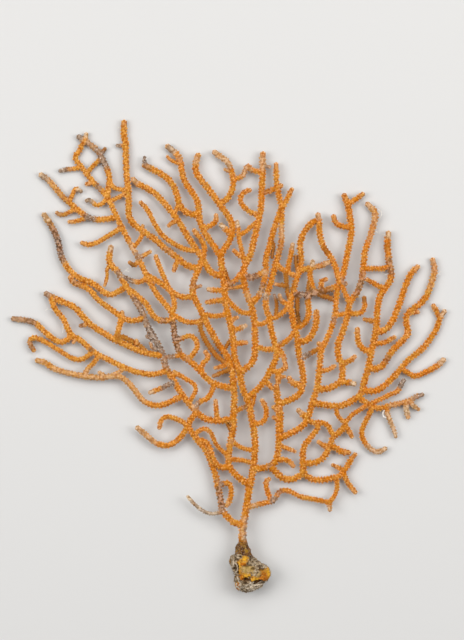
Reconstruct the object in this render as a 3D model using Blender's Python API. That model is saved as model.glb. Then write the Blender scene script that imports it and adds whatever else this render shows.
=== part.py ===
"""Orange sea fan lying on its back, with the lump of stone that it grew on.

Metres, +Z up. The fan lies in a low dome over the XY plane with its branch tips towards +Y,
and the stone's flattened underside is on Z = 0 at the -Y end. The origin is on that plane,
under the middle of the whole fan. Every limb between two main forks is one closed solid.
"""

import math

import bmesh
import bpy
from mathutils import Vector, geometry, noise

# Driving dimensions
FAN_HEIGHT = 0.2124
FAN_HEIGHT_IN_PHOTO = 472
PIXEL = FAN_HEIGHT / FAN_HEIGHT_IN_PHOTO
PHOTO_CENTRE_X = 228
PHOTO_CENTRE_Y = 355

# Half the thickness of each kind of shoot
TRUNK = 0.00168
LIMB = 0.00144
BRANCH = 0.00131
TWIG = 0.00114
SPRIG = 0.00100
STRAND = 0.00082

# The low dome that the sheet of branches makes above the ground
REST_HEIGHT = 0.00146
DOME_RISE = 0.0036
DOME_CENTRE_Y = 0.011
DOME_REACH = 0.0965
FOOT_RISE = 0.0046
FOOT_START_Y = -0.052
FOOT_END_Y = -0.084
UNDER = -0.0011
OVER = 0.0012

# Fit and finish of the solids
GAP = 0.0003
FINE_STEP = 0.0005
SHAPE_TOLERANCE = 0.0005
THINNEST_SIX_SIDED = 0.0012
SQUARE_BAR_SWELL = 1.12
TIP_LENGTH = 0.75
TIP_TAPER = 0.72
HOLDFAST_SIDES = 8
SPECK = 0.0000003
KEPT_SHARE = 0.81
CAP_WELD = 0.00001

# Stone and holdfast
STONE_HEIGHT = 0.0128
STONE_WAIST = 0.0060
STONE_SEGMENTS = 18
STONE_RINGS = 10
STONE_SHOULDER = 0.75
STONE_UNDERSIDE = 1.6
STONE_LUMPS = 2.3
STONE_RUGGEDNESS = 0.0007
STONE_TOP_RUGGEDNESS = 1.6
STONE_CUT_MARGIN = 1.15
HOLDFAST_HEIGHT_ABOVE_GROUND = 0.0059

ORANGE = (0.83, 0.42, 0.08, 1.0)
STONE_GREY = (0.42, 0.36, 0.29, 1.0)
COLLAR_BROWN = (0.26, 0.15, 0.06, 1.0)


def shoot(radius, *points, joined=False, lift=0.0, tip=None):
    """One shoot: its points in the photograph from root to tip, and how its far end finishes."""
    return {"radius": radius, "points": points, "joined": joined, "lift": lift, "tip": tip or radius}


# Outline of the stone seen from above, and the line that the holdfast grows along
STONE_MIDDLE = (249.5, 571)
STONE_OUTLINE = (
    (269.6, 570.5), (268, 577), (262.8, 583.3), (256, 588), (250.5, 590.8), (245, 590.2), (237, 588.3),
    (235, 583), (234.9, 575), (232.6, 567.5), (229.8, 562), (231.4, 555.5), (237, 552.5), (244, 551.8),
    (250.6, 555.4), (257, 560), (261.3, 563), (266.5, 566.2),
)
HOLDFAST_PROFILE = (
    (243, 562, 0.0030), (243, 557, 0.0037), (242.2, 551, 0.0035), (241.6, 546.5, 0.0026), (242, 541.5, 0.0018),
)

# The limbs, in the order in which they are fitted: each one is cut back from those before it
LIMBS = {
    "stem": {
        "trunk": shoot(
            TRUNK, (242, 541), (242.1, 532), (243.3, 522), (245.1, 511), (247, 500), (248.5, 490),
            (250.8, 479), (253, 467), (254.3, 453.5), (254.7, 442), (253.2, 428), (251, 417),
            (249.3, 407), (246.8, 399), (243.2, 391), (240.8, 382), (239.2, 371), joined=True, tip=LIMB,
        ),
        "right_hook": shoot(
            TWIG, (252.5, 423.5), (260, 422.8), (264.5, 419), (266, 411.5), (264.5, 405), (262, 401),
        ),
    },
    "left_limb": {
        "main": shoot(
            LIMB, (247.5, 483.5), (241.7, 480), (234.8, 474), (229.5, 467.5), (227.8, 459), (229, 449),
            (230.8, 437.4), (233, 428), (233.2, 409), (234, 397), (233, 383), joined=True,
        ),
        "lower_rung": shoot(SPRIG, (229, 459), (238, 459.5), (246, 461), (253, 463.5), joined=True),
        "middle_rung": shoot(SPRIG, (231, 440.5), (236, 444.5), (242.5, 448), (254, 450.5), joined=True),
        "upper_rung": shoot(SPRIG, (234, 412), (240, 408.5), (249, 405.5), joined=True),
    },
    "left_arm": {
        "main": shoot(
            LIMB, (233, 419), (226, 419.7), (217, 420.5), (208, 419.5), (201, 416), (194.5, 410),
            (183, 396), (174, 381.5), (166, 368), (162, 354), (154.5, 338.5), (146, 323.5), (140, 308),
            (132, 295), (124, 283), (117, 271), (111, 265.5), (108.7, 260), (110.3, 248),
        ),
        "upright_stub": shoot(TWIG, (217, 420), (216, 411), (215.3, 401.5)),
        "side_loop": shoot(
            SPRIG, (189, 402), (192.5, 396), (195.5, 389.5), (193, 383.5), (185, 378.5), (177, 374),
            (172, 376), joined=True,
        ),
        "knob_on_loop": shoot(SPRIG, (180, 375.5), (174.5, 372)),
        "grey_club": shoot(TWIG, (174, 381.5), (161, 388), (150.7, 392)),
        "grey_stub": shoot(TWIG, (155, 339), (148, 336.5)),
        "low_knob": shoot(STRAND, (156.5, 349), (152, 347), (150.5, 343.5)),
        "rear_sprig": shoot(STRAND, (109, 265), (106.5, 270), (106.8, 276), (104.5, 284.5)),
        "root_strand": shoot(STRAND, (225, 420), (228.5, 426.5), (230.5, 431), joined=True, lift=UNDER),
    },
    "upper_left_limb": {
        "main": shoot(
            LIMB, (233, 388), (221, 385.8), (212, 382.4), (205, 376.6), (198, 368.6), (189, 360.6),
            (181, 354.8), (177.4, 348), (174, 334), (172.5, 320), (170.5, 311), (158, 296), (148, 279),
            (138, 258), (127, 238), (116, 216), (106, 196), (92, 181), (79, 164), (75, 159), (74.5, 156),
            (78.5, 151), (81, 145), (83.5, 142), tip=TWIG,
        ),
        "link_to_arm": shoot(
            TWIG, (214, 384), (211, 392), (206.5, 398.5), (200, 401), (196, 406), (194, 411), joined=True,
        ),
        "fork_knob": shoot(TWIG, (200, 370), (202.5, 363.5), (208, 357), (205.5, 352.5)),
        "side_loop": shoot(
            TWIG, (187, 359.5), (193.5, 353), (197, 346), (195, 339), (189, 335.5), (182, 338),
            (175, 339), joined=True,
        ),
        "grey_rung": shoot(SPRIG, (181, 354.8), (171, 356.5), (163, 357), joined=True),
        "long_strand": shoot(
            BRANCH, (172.3, 320), (161, 320.5), (155, 317.5), (150, 311), (146, 304), (140, 298.5),
            (134, 293), (129, 290), joined=True,
        ),
        "upper_rung": shoot(
            TWIG, (147.5, 278), (139.5, 281.7), (133, 281), (127, 278.7), (121.5, 276.5), joined=True,
        ),
        "knob_pair_low": shoot(SPRIG, (139, 260), (134, 265), (130, 262.8)),
        "knob_pair_high": shoot(SPRIG, (138, 258), (143, 255.5), (149, 252)),
        "drooping_twig": shoot(
            TWIG, (121, 227), (114, 232), (107, 236), (100, 240.5), (94, 243.3), (88, 244.5), (82.5, 243),
        ),
        "curled_twig": shoot(SPRIG, (107, 198), (102, 203), (97, 205), (93, 203), (89, 199.5), (87, 200)),
        "small_stub": shoot(SPRIG, (92, 182), (87, 183.5)),
        "grey_twig": shoot(SPRIG, (81, 166.5), (72, 168.5), (66, 168.8), (60.5, 170.3)),
    },
    "lower_left_limb": {
        "main": shoot(
            LIMB, (242.5, 524), (233.5, 522), (227, 516), (222, 510), (220.5, 501), (219, 493),
            (217, 484), (215.5, 476), (212.6, 467.5), (209.6, 459), (205, 449), (198, 441),
            (191.5, 432.5), (188.2, 424), (191.5, 418), (196, 412), joined=True, tip=BRANCH,
        ),
        "shelf_strand": shoot(
            BRANCH, (197.8, 440), (204.5, 441.5), (209, 447), (212, 456.5), (216, 464), (221, 467.2),
            (228.5, 467), joined=True, lift=OVER,
        ),
        "loop_strand": shoot(
            SPRIG, (194, 436), (199, 430), (205, 428.7), (210.5, 432.5), (215, 442.5), (221, 450),
            (229, 456), joined=True,
        ),
        "inner_hook": shoot(
            TWIG, (217.5, 485.5), (223, 483.5), (228, 482.8), (230.5, 487), (230.5, 496), (228.5, 502),
            (226.5, 504.5),
        ),
        "pale_twig": shoot(STRAND, (222.5, 511), (212, 513.3), (203, 510.5), (195, 504.5), (188, 497)),
    },
    "left_hooks": {
        "outer": shoot(
            BRANCH, (188, 425), (184.5, 431), (180, 437), (173, 443), (165, 445.3), (156, 443),
            (147, 436), (138, 428.3),
        ),
        "inner": shoot(
            TWIG, (187.5, 426), (181, 421), (173, 417.8), (166, 416.5), (161, 420), (159.2, 426.5),
        ),
    },
    "far_left_upper": {
        "main": shoot(
            BRANCH, (126, 287), (121, 289.5), (115, 293), (109, 294.5), (103.5, 292), (97, 286.5),
            (89.8, 282), (81, 279), (73.5, 274), (67.5, 268), (63.5, 261.5), (60, 254), (57.5, 241),
            (51, 226), (44, 215.5), tip=LIMB,
        ),
    },
    "far_left_middle": {
        "main": shoot(
            BRANCH, (144, 317), (138, 319.5), (131, 320.5), (123, 318), (117, 314), (110, 308.5),
            (102, 303), (95.5, 297), (90, 290.5), (84, 286.3), (78, 284.5), (72.5, 281.5), (70.5, 278),
        ),
        "knob": shoot(SPRIG, (122.3, 318), (121.8, 313)),
    },
    "left_branch_one": {
        "main": shoot(
            LIMB, (162, 355), (156, 354.5), (143, 352), (133, 348), (122.5, 343), (112.5, 338.5),
            (102, 332), (92, 325.7), (85.5, 319.5), (78.5, 311.5), (71.5, 305.5), (63, 302), (54, 298),
            (46.5, 294),
        ),
        "stub": shoot(SPRIG, (88, 323.5), (81, 325.5)),
        "rear_strand": shoot(
            TWIG, (117, 340), (122, 336.5), (129, 340), (138, 344.5), (146, 352), joined=True, lift=UNDER,
        ),
        "rear_knob": shoot(SPRIG, (136, 345), (136, 341.5)),
        "rung_up": shoot(BRANCH, (116.5, 339.5), (117.5, 332), (119.5, 325), (121.5, 318), joined=True),
    },
    "left_branch_two": {
        "main": shoot(
            BRANCH, (167, 370), (160, 372.7), (152, 374), (144, 373.3), (135, 371.3), (124.5, 367.5),
            (114, 362.5), (105, 358), (97, 354), (90, 349), (84, 343.5), (78, 338.5), (71.5, 336.5),
            (66, 340), (60, 342), (54, 339.5), (44, 331.5), (34, 322.5), (24, 319.8), (13.5, 318.7),
        ),
        "stub": shoot(STRAND, (76, 337.5), (73.5, 341.5)),
        "long_rung": shoot(
            BRANCH, (71.5, 336.5), (67, 328), (63.5, 319.5), (57.5, 312.5), (53, 306), (51.5, 296.5),
            joined=True,
        ),
    },
    "left_branch_three": {
        "main": shoot(
            TWIG, (93, 351.5), (88, 355), (83, 358.7), (77, 359.5), (71.5, 358), (63, 353), (55, 348),
            (47, 343), (39, 339), (32.5, 337.5), (29, 341), (30.5, 346), (32.7, 349.5),
        ),
    },
    "left_branch_four": {
        "main": shoot(
            BRANCH, (182.5, 395.5), (175, 399), (167, 403), (158, 405.3), (149.5, 404), (143, 400.5),
            (139, 396), (134, 389.5), (128, 382.5), (121, 377), (112, 375.8), (102, 377.5), (92, 377),
            (81.5, 375.8), (71.5, 373.7), (61, 371), (52, 367.5), (44.5, 362.5), (37.5, 360.5),
        ),
        "stub": shoot(SPRIG, (104, 376), (99.8, 373)),
        "long_rung": shoot(TWIG, (84, 375), (87.5, 368.5), (93, 363), (98.5, 355), joined=True),
        "short_rung": shoot(SPRIG, (112, 376), (118.5, 372), (124.5, 368), joined=True),
    },
    "top_left_low": {
        "main": shoot(
            BRANCH, (116.5, 217), (108, 218.5), (100, 219.3), (93, 218.8), (86, 216), (79, 211),
            (72, 205), (66, 200), (60, 194), (54, 187), (48, 180), (41.2, 175),
        ),
        "upper_hook": shoot(SPRIG, (68, 201.5), (72, 194), (75, 188.5), (79.5, 190.5)),
        "lower_twig": shoot(SPRIG, (76, 208.5), (70, 211), (65, 213.8), (60, 214.5), (57, 212.8)),
        "rear_twig": shoot(SPRIG, (88, 217), (80, 219.5), (74, 221.3), (69.5, 221.5)),
    },
    "top_left_high": {
        "main": shoot(
            BRANCH, (107, 198), (107.5, 189), (109, 181), (108, 173), (105, 165), (101.5, 157.5),
            (98, 151.5), (92, 146), (86, 141.5), (79, 137),
        ),
        "lump": shoot(SPRIG, (84.5, 140.5), (85.5, 134.5)),
        "stub": shoot(STRAND, (100.5, 153.5), (104, 148.8)),
        "rung": shoot(SPRIG, (101, 157.5), (94, 164), (86, 173), joined=True),
    },
    "centre_limb": {
        "main": shoot(
            LIMB, (239.2, 372), (236.4, 364), (233.9, 355), (233.2, 343), (231, 329.6), (228.3, 318),
            (225.8, 306.6), (224.5, 295), (223.3, 282.5), (221.6, 268.7), (220.3, 256), joined=True,
        ),
        "left_stub_high": shoot(TWIG, (223.5, 289.5), (215, 290.3), (209, 289.3)),
        "left_stub_low": shoot(TWIG, (224.5, 299.8), (214, 300.8), (207.3, 302)),
        "right_stub_high": shoot(SPRIG, (228, 321), (236, 317.7)),
        "right_stub_middle": shoot(TWIG, (231, 331), (239, 328.3), (244.3, 326)),
        "right_stub_low": shoot(TWIG, (233, 343.5), (244.8, 342.5)),
    },
    "high_left_limb": {
        "main": shoot(
            LIMB, (222, 275.5), (214, 274), (209, 270), (205, 264), (202, 258), (198, 252), (193, 245),
            (188, 237.5), (178, 221), (167, 206.5), (155, 193.5), (148, 189), (136, 182.5), (133.5, 180),
        ),
        "side_twig": shoot(SPRIG, (177, 220), (171, 223), (169, 225)),
        "crossing_twig": shoot(
            TWIG, (202, 259), (204, 252), (204, 246), (201, 240), (197.5, 235), (194.3, 231),
        ),
    },
    "middle_left_limb": {
        "main": shoot(
            LIMB, (232.9, 384), (232.2, 374), (230.2, 363.5), (226, 355), (219, 345.6), (213, 335.3),
            (207.3, 325), (202.5, 314.6), (198, 305.4), (193.7, 297), (192.2, 289), (193.2, 282),
            (196, 274), (199, 267), (202.5, 258), joined=True,
        ),
        "link_to_centre": shoot(
            TWIG, (203, 314), (208, 315.2), (215, 316), (221, 315), (227.5, 313), joined=True,
        ),
        "link_to_left": shoot(
            TWIG, (205, 320), (199, 321.5), (192, 322.2), (185, 321.5), (179, 318.5), (172, 314),
            joined=True,
        ),
        "rear_strand": shoot(
            TWIG, (203, 317.5), (199.8, 325), (203, 336), (209.5, 347), (217, 356.5), (225, 362.5),
            (231.5, 368), joined=True, lift=UNDER,
        ),
        "stub_one": shoot(SPRIG, (229, 362.5), (222, 366), (215.7, 367.5)),
        "stub_two": shoot(SPRIG, (230, 369), (221, 372.5), (214, 375.5), lift=UNDER),
        "thin_link": shoot(STRAND, (223, 350.5), (226.5, 345), (232, 337), joined=True, lift=UNDER),
        "small_stub": shoot(STRAND, (193, 288), (199.5, 286)),
    },
    "left_cross_branch": {
        "main": shoot(
            BRANCH, (193.2, 295.5), (187, 297), (183, 297), (177, 295), (171, 291), (165, 286.5),
            (159, 282), (153, 278.8), (146.5, 275), joined=True,
        ),
        "upright": shoot(
            TWIG, (171.5, 313), (174, 306), (173.3, 299), (171, 292.5), (167.5, 285.5), (164, 278),
            (161, 271), (158, 263.5), (155.8, 257),
        ),
    },
    "tall_left_limb": {
        "main": shoot(
            LIMB, (199, 268), (191, 267), (184, 263.5), (178, 258.5), (170, 252), (163, 247), (157, 241),
            (150, 236), (142, 230.5), (136, 226), (131, 221), (128.5, 215), (128.2, 200), (127.5, 187),
            (126, 172), (125.3, 152), (125, 143), (123.5, 135), (123.5, 122.8),
        ),
        "down_twig": shoot(TWIG, (178.5, 259), (175.5, 265), (173.8, 269.5)),
        "knob": shoot(STRAND, (142, 230.5), (142.3, 226.5)),
        "stub": shoot(STRAND, (125, 145), (117.5, 145)),
        "rung": shoot(SPRIG, (143, 231.5), (139.5, 239.5), (132, 248), joined=True),
        "upper_link": shoot(SPRIG, (127.7, 189.5), (118, 189), (112, 186), (108.5, 180), joined=True),
        "lower_link": shoot(SPRIG, (127.7, 191.5), (120, 196), (114, 199), (107, 203), joined=True),
    },
    "slanting_left_branch": {
        "main": shoot(
            TWIG, (197, 250.5), (190, 250.3), (183, 248.3), (175, 244.5), (168, 240), (161, 234),
            (156, 226.5), (152, 219.5), (149, 213), (145, 207), (141, 203),
        ),
    },
    "high_centre_left": {
        "main": shoot(
            LIMB, (220.2, 256), (215, 248), (209.5, 240.5), (204.5, 233), (201.5, 226), (199, 219),
            (197.8, 204), (195, 197), (186, 184), (182.5, 176.5), (180, 161.5), (177, 155), (172, 150),
            (168, 146.8),
        ),
        "top_twig": shoot(STRAND, (180, 164), (175, 162), (170, 159.5), (167.5, 156.8)),
        "side_hook": shoot(TWIG, (202, 228.5), (208, 226.5), (213, 223.5), (216, 219.5), (215.7, 216)),
    },
    "high_left_branch": {
        "main": shoot(
            LIMB, (198.3, 214.5), (190, 214), (185, 211.5), (181, 207.5), (178.5, 203), (177, 196),
            (174.5, 189), (170, 181.5), (165, 176.5), (158, 172), (150, 168), (144.8, 165),
        ),
        "grey_end": shoot(STRAND, (146, 165.5), (143.8, 161), (144, 158)),
        "rung": shoot(SPRIG, (178.5, 203.5), (176, 209.5), (172.5, 215), joined=True),
    },
    "high_centre_right": {
        "main": shoot(
            LIMB, (219.6, 255.2), (223.5, 249.2), (228, 243), (231, 236.5), (232.5, 230), (231.5, 223),
            (227, 215), (217, 201), (206.5, 187), (201, 180), (196.5, 174), (195, 167), (196, 160),
            (197.5, 156),
        ),
        "club_stub": shoot(BRANCH, (231, 235.5), (226, 230), (221.5, 225.5)),
    },
    "top_centre_branch": {
        "main": shoot(
            BRANCH, (218.5, 203), (225, 200.5), (229, 195.5), (232, 189), (233, 182), (232, 175),
            (230, 168), (227, 161.5), (221, 157), (215, 152.5),
        ),
        "spur": shoot(STRAND, (230, 171.5), (225.3, 169.5)),
    },
    "centre_right_limb": {
        "main": shoot(
            LIMB, (239.5, 372), (247.5, 366.5), (253, 360), (254.7, 350), (254.6, 335), (254, 322),
            (252.5, 312), (250.5, 303), (247, 295), (244.5, 287), (243, 277), joined=True,
        ),
        "lower_link": shoot(
            TWIG, (252, 313), (243, 312.8), (237, 309.5), (231, 304), (225.5, 297), joined=True,
        ),
        "rung": shoot(STRAND, (244.5, 286), (240, 286.5), (234, 287.5), (224, 288.5), joined=True),
    },
    "upper_centre_right": {
        "main": shoot(
            LIMB, (243, 278), (244, 267), (248.5, 258), (251.5, 249), (254, 238), (256.5, 228),
            (258.7, 218), (260.5, 208), (261.2, 198), (261.5, 186), (262, 175), (262.2, 162),
            (262.5, 154.5),
        ),
        "link_to_centre": shoot(
            TWIG, (243.5, 270), (239, 275.5), (235, 280), (230, 283.5), (223, 286), joined=True,
        ),
        "rear_strand": shoot(
            STRAND, (230, 283.5), (227.5, 279), (225.5, 272), (222, 266), joined=True, lift=UNDER,
        ),
        "low_stub": shoot(TWIG, (248, 259.5), (243, 257.5), (238, 254.5), (234.3, 251.3), lift=OVER),
        "inner_strand": shoot(
            SPRIG, (244.5, 265), (242.5, 256), (240.5, 247), (238.5, 238), (238, 230), (237, 222.5),
        ),
        "strand_link": shoot(
            SPRIG, (238.3, 234.5), (244, 232.5), (248, 229), (252, 225.5), (257.5, 221), joined=True,
        ),
        "hook": shoot(
            TWIG, (259, 215.5), (253, 213.3), (247, 210), (242, 205), (239.8, 199), (241.5, 194.5),
            (245, 191.3), (248.5, 190.3),
        ),
        "top_link": shoot(
            TWIG, (262, 171), (256, 171), (250.5, 169.3), (247.5, 165.8), (244.8, 170), (243, 175),
            (239, 177.5), (231, 179.5), joined=True,
        ),
        "top_stub": shoot(STRAND, (262, 165.5), (268.3, 166.5)),
    },
    "right_centre_limb": {
        "main": shoot(
            LIMB, (246, 398.5), (252, 393.5), (257, 389), (262, 383.5), (266, 378), (269, 372),
            (273, 364), (276, 357), (276, 348), (273.5, 341), (271.3, 332), (270, 325), (268.5, 317),
            (266, 309.5), (265, 302), (266.5, 294), (269.5, 285), (272.3, 275), (274.5, 266),
            (277.3, 257), (279.5, 249), (281, 241), (281, 225), (281, 208), (278.8, 197), (276.8, 187),
            (276, 180), (275.8, 165), tip=TWIG,
        ),
        "root_strand": shoot(
            STRAND, (254.5, 392), (253.5, 399), (252.5, 403.5), (249.5, 409), joined=True,
        ),
        "top_right": shoot(TWIG, (281, 209), (284.5, 203), (288, 196), (291, 190)),
        "top_link": shoot(TWIG, (277, 187.5), (272, 189.5), (267, 191.5), (261.5, 192.5), joined=True),
        "top_knob": shoot(TWIG, (277, 188), (279.8, 186)),
        "lower_rung": shoot(TWIG, (275, 348), (267, 349.5), (262, 348.3), (254.8, 346.5), joined=True),
        "upper_rung": shoot(SPRIG, (269, 320), (264, 323), (259, 324.2), (254, 323.5), joined=True),
        "curl": shoot(TWIG, (270.5, 370), (277, 371.7), (282, 369.8), (285.3, 367), (284.8, 363.5)),
        "curl_stub": shoot(BRANCH, (278.5, 371.5), (277.7, 376), (277.7, 381)),
        "curl_sprig": shoot(STRAND, (278, 377.5), (283.5, 376.5)),
        "side_stub": shoot(TWIG, (277, 347.5), (280.5, 351.5), (283, 356.5), (283.6, 359.5)),
        "low_stub": shoot(TWIG, (264.5, 380.5), (268.5, 384.5), (271, 387.5)),
    },
    "parallel_limb": {
        "main": shoot(
            BRANCH, (250.5, 302.5), (256, 298.5), (259.5, 293.5), (262, 287), (264, 279), (265.8, 271),
            (265, 263.5), (266, 256), (268.7, 247), (271, 238), (274, 228), (277, 219), (281, 209),
            joined=True,
        ),
        "pale_link": shoot(BRANCH, (265, 271.5), (258.5, 274.5), (251, 277.5), (243, 275), joined=True),
        "inner_strand": shoot(STRAND, (270.5, 239), (273.5, 246), (272, 252), (271.8, 256.5), lift=UNDER),
    },
    "right_limb": {
        "main": shoot(
            LIMB, (253, 468), (260, 468.5), (266, 467), (271, 465.5), (275, 461), (277, 455),
            (278.2, 446), (278.5, 436), (278.5, 427), (278.5, 418), (278.5, 410), (277.5, 402),
            (276.8, 394), (276, 387),
        ),
        "thick_stretch": shoot(TRUNK, (279, 432), (279.3, 420), (279, 408)),
        "left_knob_low": shoot(SPRIG, (278, 419), (274, 417.5)),
        "left_knob_high": shoot(SPRIG, (278, 411), (273.5, 407.5)),
        "right_stub": shoot(SPRIG, (278.5, 446), (285, 447.5), (290, 449.3), (293.7, 451)),
        "right_hook": shoot(TWIG, (276.5, 459.5), (284, 459.3), (289, 461.5), (292.3, 465.3)),
    },
    "lower_right_loop": {
        "main": shoot(
            LIMB, (270.5, 466.5), (275, 471.5), (279.5, 476), (285, 479), (291, 479.3), (297, 477),
            (303, 474), (310, 478.3), (316, 479.8), (323, 479.8), (330, 478.3), (336, 477), (341, 474.5),
            (343.8, 471), (347, 466), (350.5, 460), (354.3, 455.2), tip=TWIG,
        ),
        "upper_twig": shoot(SPRIG, (343.5, 471), (338.5, 467.7), (333.3, 465.3)),
        "lower_twig": shoot(TWIG, (343.3, 473.5), (346.5, 481), (350.3, 486.5), (354.3, 491.5)),
    },
    "lower_right_ring": {
        "main": shoot(
            LIMB, (302.5, 474), (302.7, 466), (302.3, 459), (302.5, 452), (304, 445.5), (308, 440),
            (312.5, 434.5), (316, 430), (318.3, 423.5), joined=True, tip=TWIG,
        ),
        "ring": shoot(
            BRANCH, (303, 463.5), (309, 463), (315, 462.3), (321, 459), (325.5, 454), (328, 448),
            (330.5, 442.5), (333, 437), (338, 432.5), (345.5, 426), joined=True,
        ),
        "upper_bar": shoot(
            TWIG, (333.5, 436), (330, 430), (326.5, 424.5), (321, 422.5), (314, 422.3), (307, 420.5),
            joined=True,
        ),
        "left_club": shoot(TWIG, (328.5, 447.5), (323, 445), (319, 442.3)),
        "right_club": shoot(BRANCH, (330, 445.5), (335.5, 447.5), (341, 451.5), (347.3, 452.3)),
        "orange_club": shoot(TWIG, (345, 425.5), (348.3, 430.5), (351, 435.7)),
    },
    "right_trunk_branch": {
        "main": shoot(
            LIMB, (277.5, 404), (285, 401.5), (291, 399), (297, 395.5), (300.8, 390.5), (302.6, 384),
            (302.8, 376), (301.8, 369), (300, 361), (298.2, 352), (297, 342), (296, 333), (293.5, 324),
            (291.5, 314), (290, 303), (292, 294), (294, 286), (296, 279), (298.7, 271), (300.5, 264),
            (300.5, 254), (299.5, 246), (301, 238), (305, 230), (310, 224), (316, 220.3), tip=BRANCH,
            joined=True,
        ),
        "left_stub": shoot(BRANCH, (302, 384.5), (296, 384.5), (291.5, 382), (289.3, 378.7)),
        "right_hook": shoot(
            LIMB, (297, 341), (303, 341.3), (308, 338.8), (312, 333.5), (314.8, 327), (316, 320),
            (316, 312.5),
        ),
        "cross_link": shoot(
            TWIG, (295, 330), (292, 334.5), (287, 340), (281, 343.8), (275, 346.5), joined=True,
        ),
        "upper_link": shoot(
            TWIG, (290.5, 305), (286, 309), (281, 313.5), (275, 317), (268, 319), joined=True,
        ),
        "short_twig": shoot(TWIG, (290.5, 306), (284.5, 303), (280.7, 300), (279.3, 296.3)),
        "rear_sprig": shoot(STRAND, (275, 317), (276, 309), (276.3, 303), (274.3, 295.5), lift=UNDER),
        "side_strand": shoot(
            SPRIG, (290.5, 300), (287.5, 294), (286.8, 287), (285.8, 280), (285.5, 272), joined=True,
            lift=UNDER,
        ),
        "strand_stub": shoot(SPRIG, (286.5, 285.5), (280, 285), (276.3, 284.3)),
        "bridge": shoot(
            TWIG, (297, 277), (291, 273.8), (285.5, 271.3), (280.5, 268.5), (275, 264), joined=True,
        ),
        "bridge_twig": shoot(TWIG, (287, 272), (288.3, 264), (290.3, 255), (292, 245.3)),
        "rear_twig": shoot(SPRIG, (298.5, 272), (296, 264), (295.5, 257), lift=UNDER),
        "right_twig": shoot(
            TWIG, (299, 271), (305, 268.7), (312, 267), (319, 266), (326.8, 262.8), tip=BRANCH,
        ),
        "right_twig_knob": shoot(TWIG, (311.8, 267), (312, 262.5)),
    },
    "pink_branch": {
        "main": shoot(
            BRANCH, (292, 293.5), (299, 294.3), (306, 294.8), (313, 293.3), (320, 291), (327, 289.5),
            (334, 287.3), (339.5, 283.5), (342, 276), (344, 268), (346, 259), (347.7, 250), (349.5, 241),
            (351, 233), (350.8, 226), (349.5, 216), (348, 207), (346, 200.5), (344.3, 196.3), tip=LIMB,
        ),
        "pink_knob": shoot(TWIG, (340, 283), (344, 283.5)),
        "bow": shoot(
            BRANCH, (308, 294.8), (307.5, 302), (308.3, 309), (307.8, 316), (305, 321.8), (300.5, 325.7),
            (294.5, 327.5), joined=True,
        ),
        "front_strand": shoot(
            TWIG, (314, 292.5), (311.5, 284), (309.7, 277), (309.5, 267.5), joined=True,
        ),
        "rear_strand": shoot(SPRIG, (308.5, 294), (308, 287), (310, 279), joined=True, lift=UNDER),
        "sunken_strand": shoot(
            SPRIG, (297, 294), (296.7, 303), (297, 313), (298.5, 324.5), joined=True, lift=UNDER,
        ),
        "small_hook": shoot(TWIG, (321.5, 290.5), (320.5, 285.5), (321.5, 281), (324.7, 279.3)),
        "lower_strand": shoot(TWIG, (316, 292.5), (322, 295.3), (329, 297.5), (335, 300), lift=UNDER),
        "high_hook": shoot(
            TWIG, (350.8, 227), (344, 226.5), (338, 224.8), (334.7, 221), (333.5, 217.3), tip=BRANCH,
        ),
        "high_twig": shoot(TWIG, (347.3, 204), (353, 200.5), (358, 197.3), (361.8, 194.3)),
    },
    "slender_left_fork": {
        "main": shoot(
            BRANCH, (339.5, 284), (337.3, 275), (335, 267), (332, 260), (328.5, 254.5), (324.5, 249),
            (321.5, 242.5), (319.5, 235), (318.8, 228), (318.5, 221), (317.7, 215.5),
        ),
    },
    "right_middle_limb": {
        "main": shoot(
            LIMB, (278.5, 438), (286, 434.8), (293, 431.5), (300, 427.3), (305, 422.5), (308, 416),
            (310.3, 408), (312.5, 400), (315.7, 391), (317.7, 381), (318.7, 372), (319.8, 360),
            (320.5, 351), (324, 344), (328, 335), (331.3, 327), (334, 317), (335.3, 308), (335.7, 299),
            (337.5, 287.5), joined=True, tip=TWIG,
        ),
        "left_club": shoot(BRANCH, (307.5, 418), (303, 415), (298.8, 410.8)),
        "right_stub": shoot(SPRIG, (318.7, 370.5), (325, 370.3), (329.5, 368.7), (333.5, 366.3)),
        "grey_link": shoot(
            TWIG, (322.5, 347), (316.5, 349.7), (310, 353), (305, 356), (299.5, 358.5), joined=True,
        ),
        "bump": shoot(TWIG, (322.5, 347), (319, 344)),
    },
    "right_inner_limb": {
        "main": shoot(
            LIMB, (316, 388.5), (324, 389), (330.5, 387.3), (336, 384.3), (340.8, 380.5), (342, 372),
            (341.8, 364.5), (338.5, 358), (337.2, 350), (338, 342), (341, 335), (343.5, 327.5),
            (346, 319.5), (347.8, 312), (348.8, 304), (351.5, 299), (356, 293.5), (359.5, 285),
            (362, 276), (363, 268), (363.7, 259), (364.7, 251), (367, 243.5), (370, 236), (372.3, 228),
            (374.5, 219), (375, 213), (372, 208.3), (368, 204.5), tip=BRANCH,
        ),
        "low_club": shoot(BRANCH, (340, 381.5), (347, 382), (353, 383.5)),
        "curl": shoot(TWIG, (341.5, 363.5), (346, 361.8), (350.5, 360), (353.7, 357)),
        "strand_to_pink": shoot(TWIG, (349, 302.5), (346, 296), (343.7, 290.5), (341, 284), joined=True),
        "rung_left": shoot(SPRIG, (348, 312), (341, 314.3), (334.5, 314.5), joined=True),
        "rung_right": shoot(
            TWIG, (347.8, 313), (356, 313.5), (361.5, 311.8), (364.3, 306), (363.8, 298.5),
        ),
    },
    "right_outer_limb": {
        "main": shoot(
            LIMB, (312, 403), (321, 404), (328, 405.3), (335, 405.8), (342, 405.3), (348, 402.5),
            (354, 399), (360, 394.5), (362.5, 387), (364.5, 379), (367, 371.5), (368.7, 363),
            (370.5, 354), (372.5, 345), (374.8, 334), (376.2, 323), (376.8, 312), (378, 302),
            (381, 293.5), (386, 286.5), (390, 280), (391, 272.5), (389, 263), (387.8, 253), (387, 243),
            (388, 234),
        ),
        "left_curl": shoot(
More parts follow.
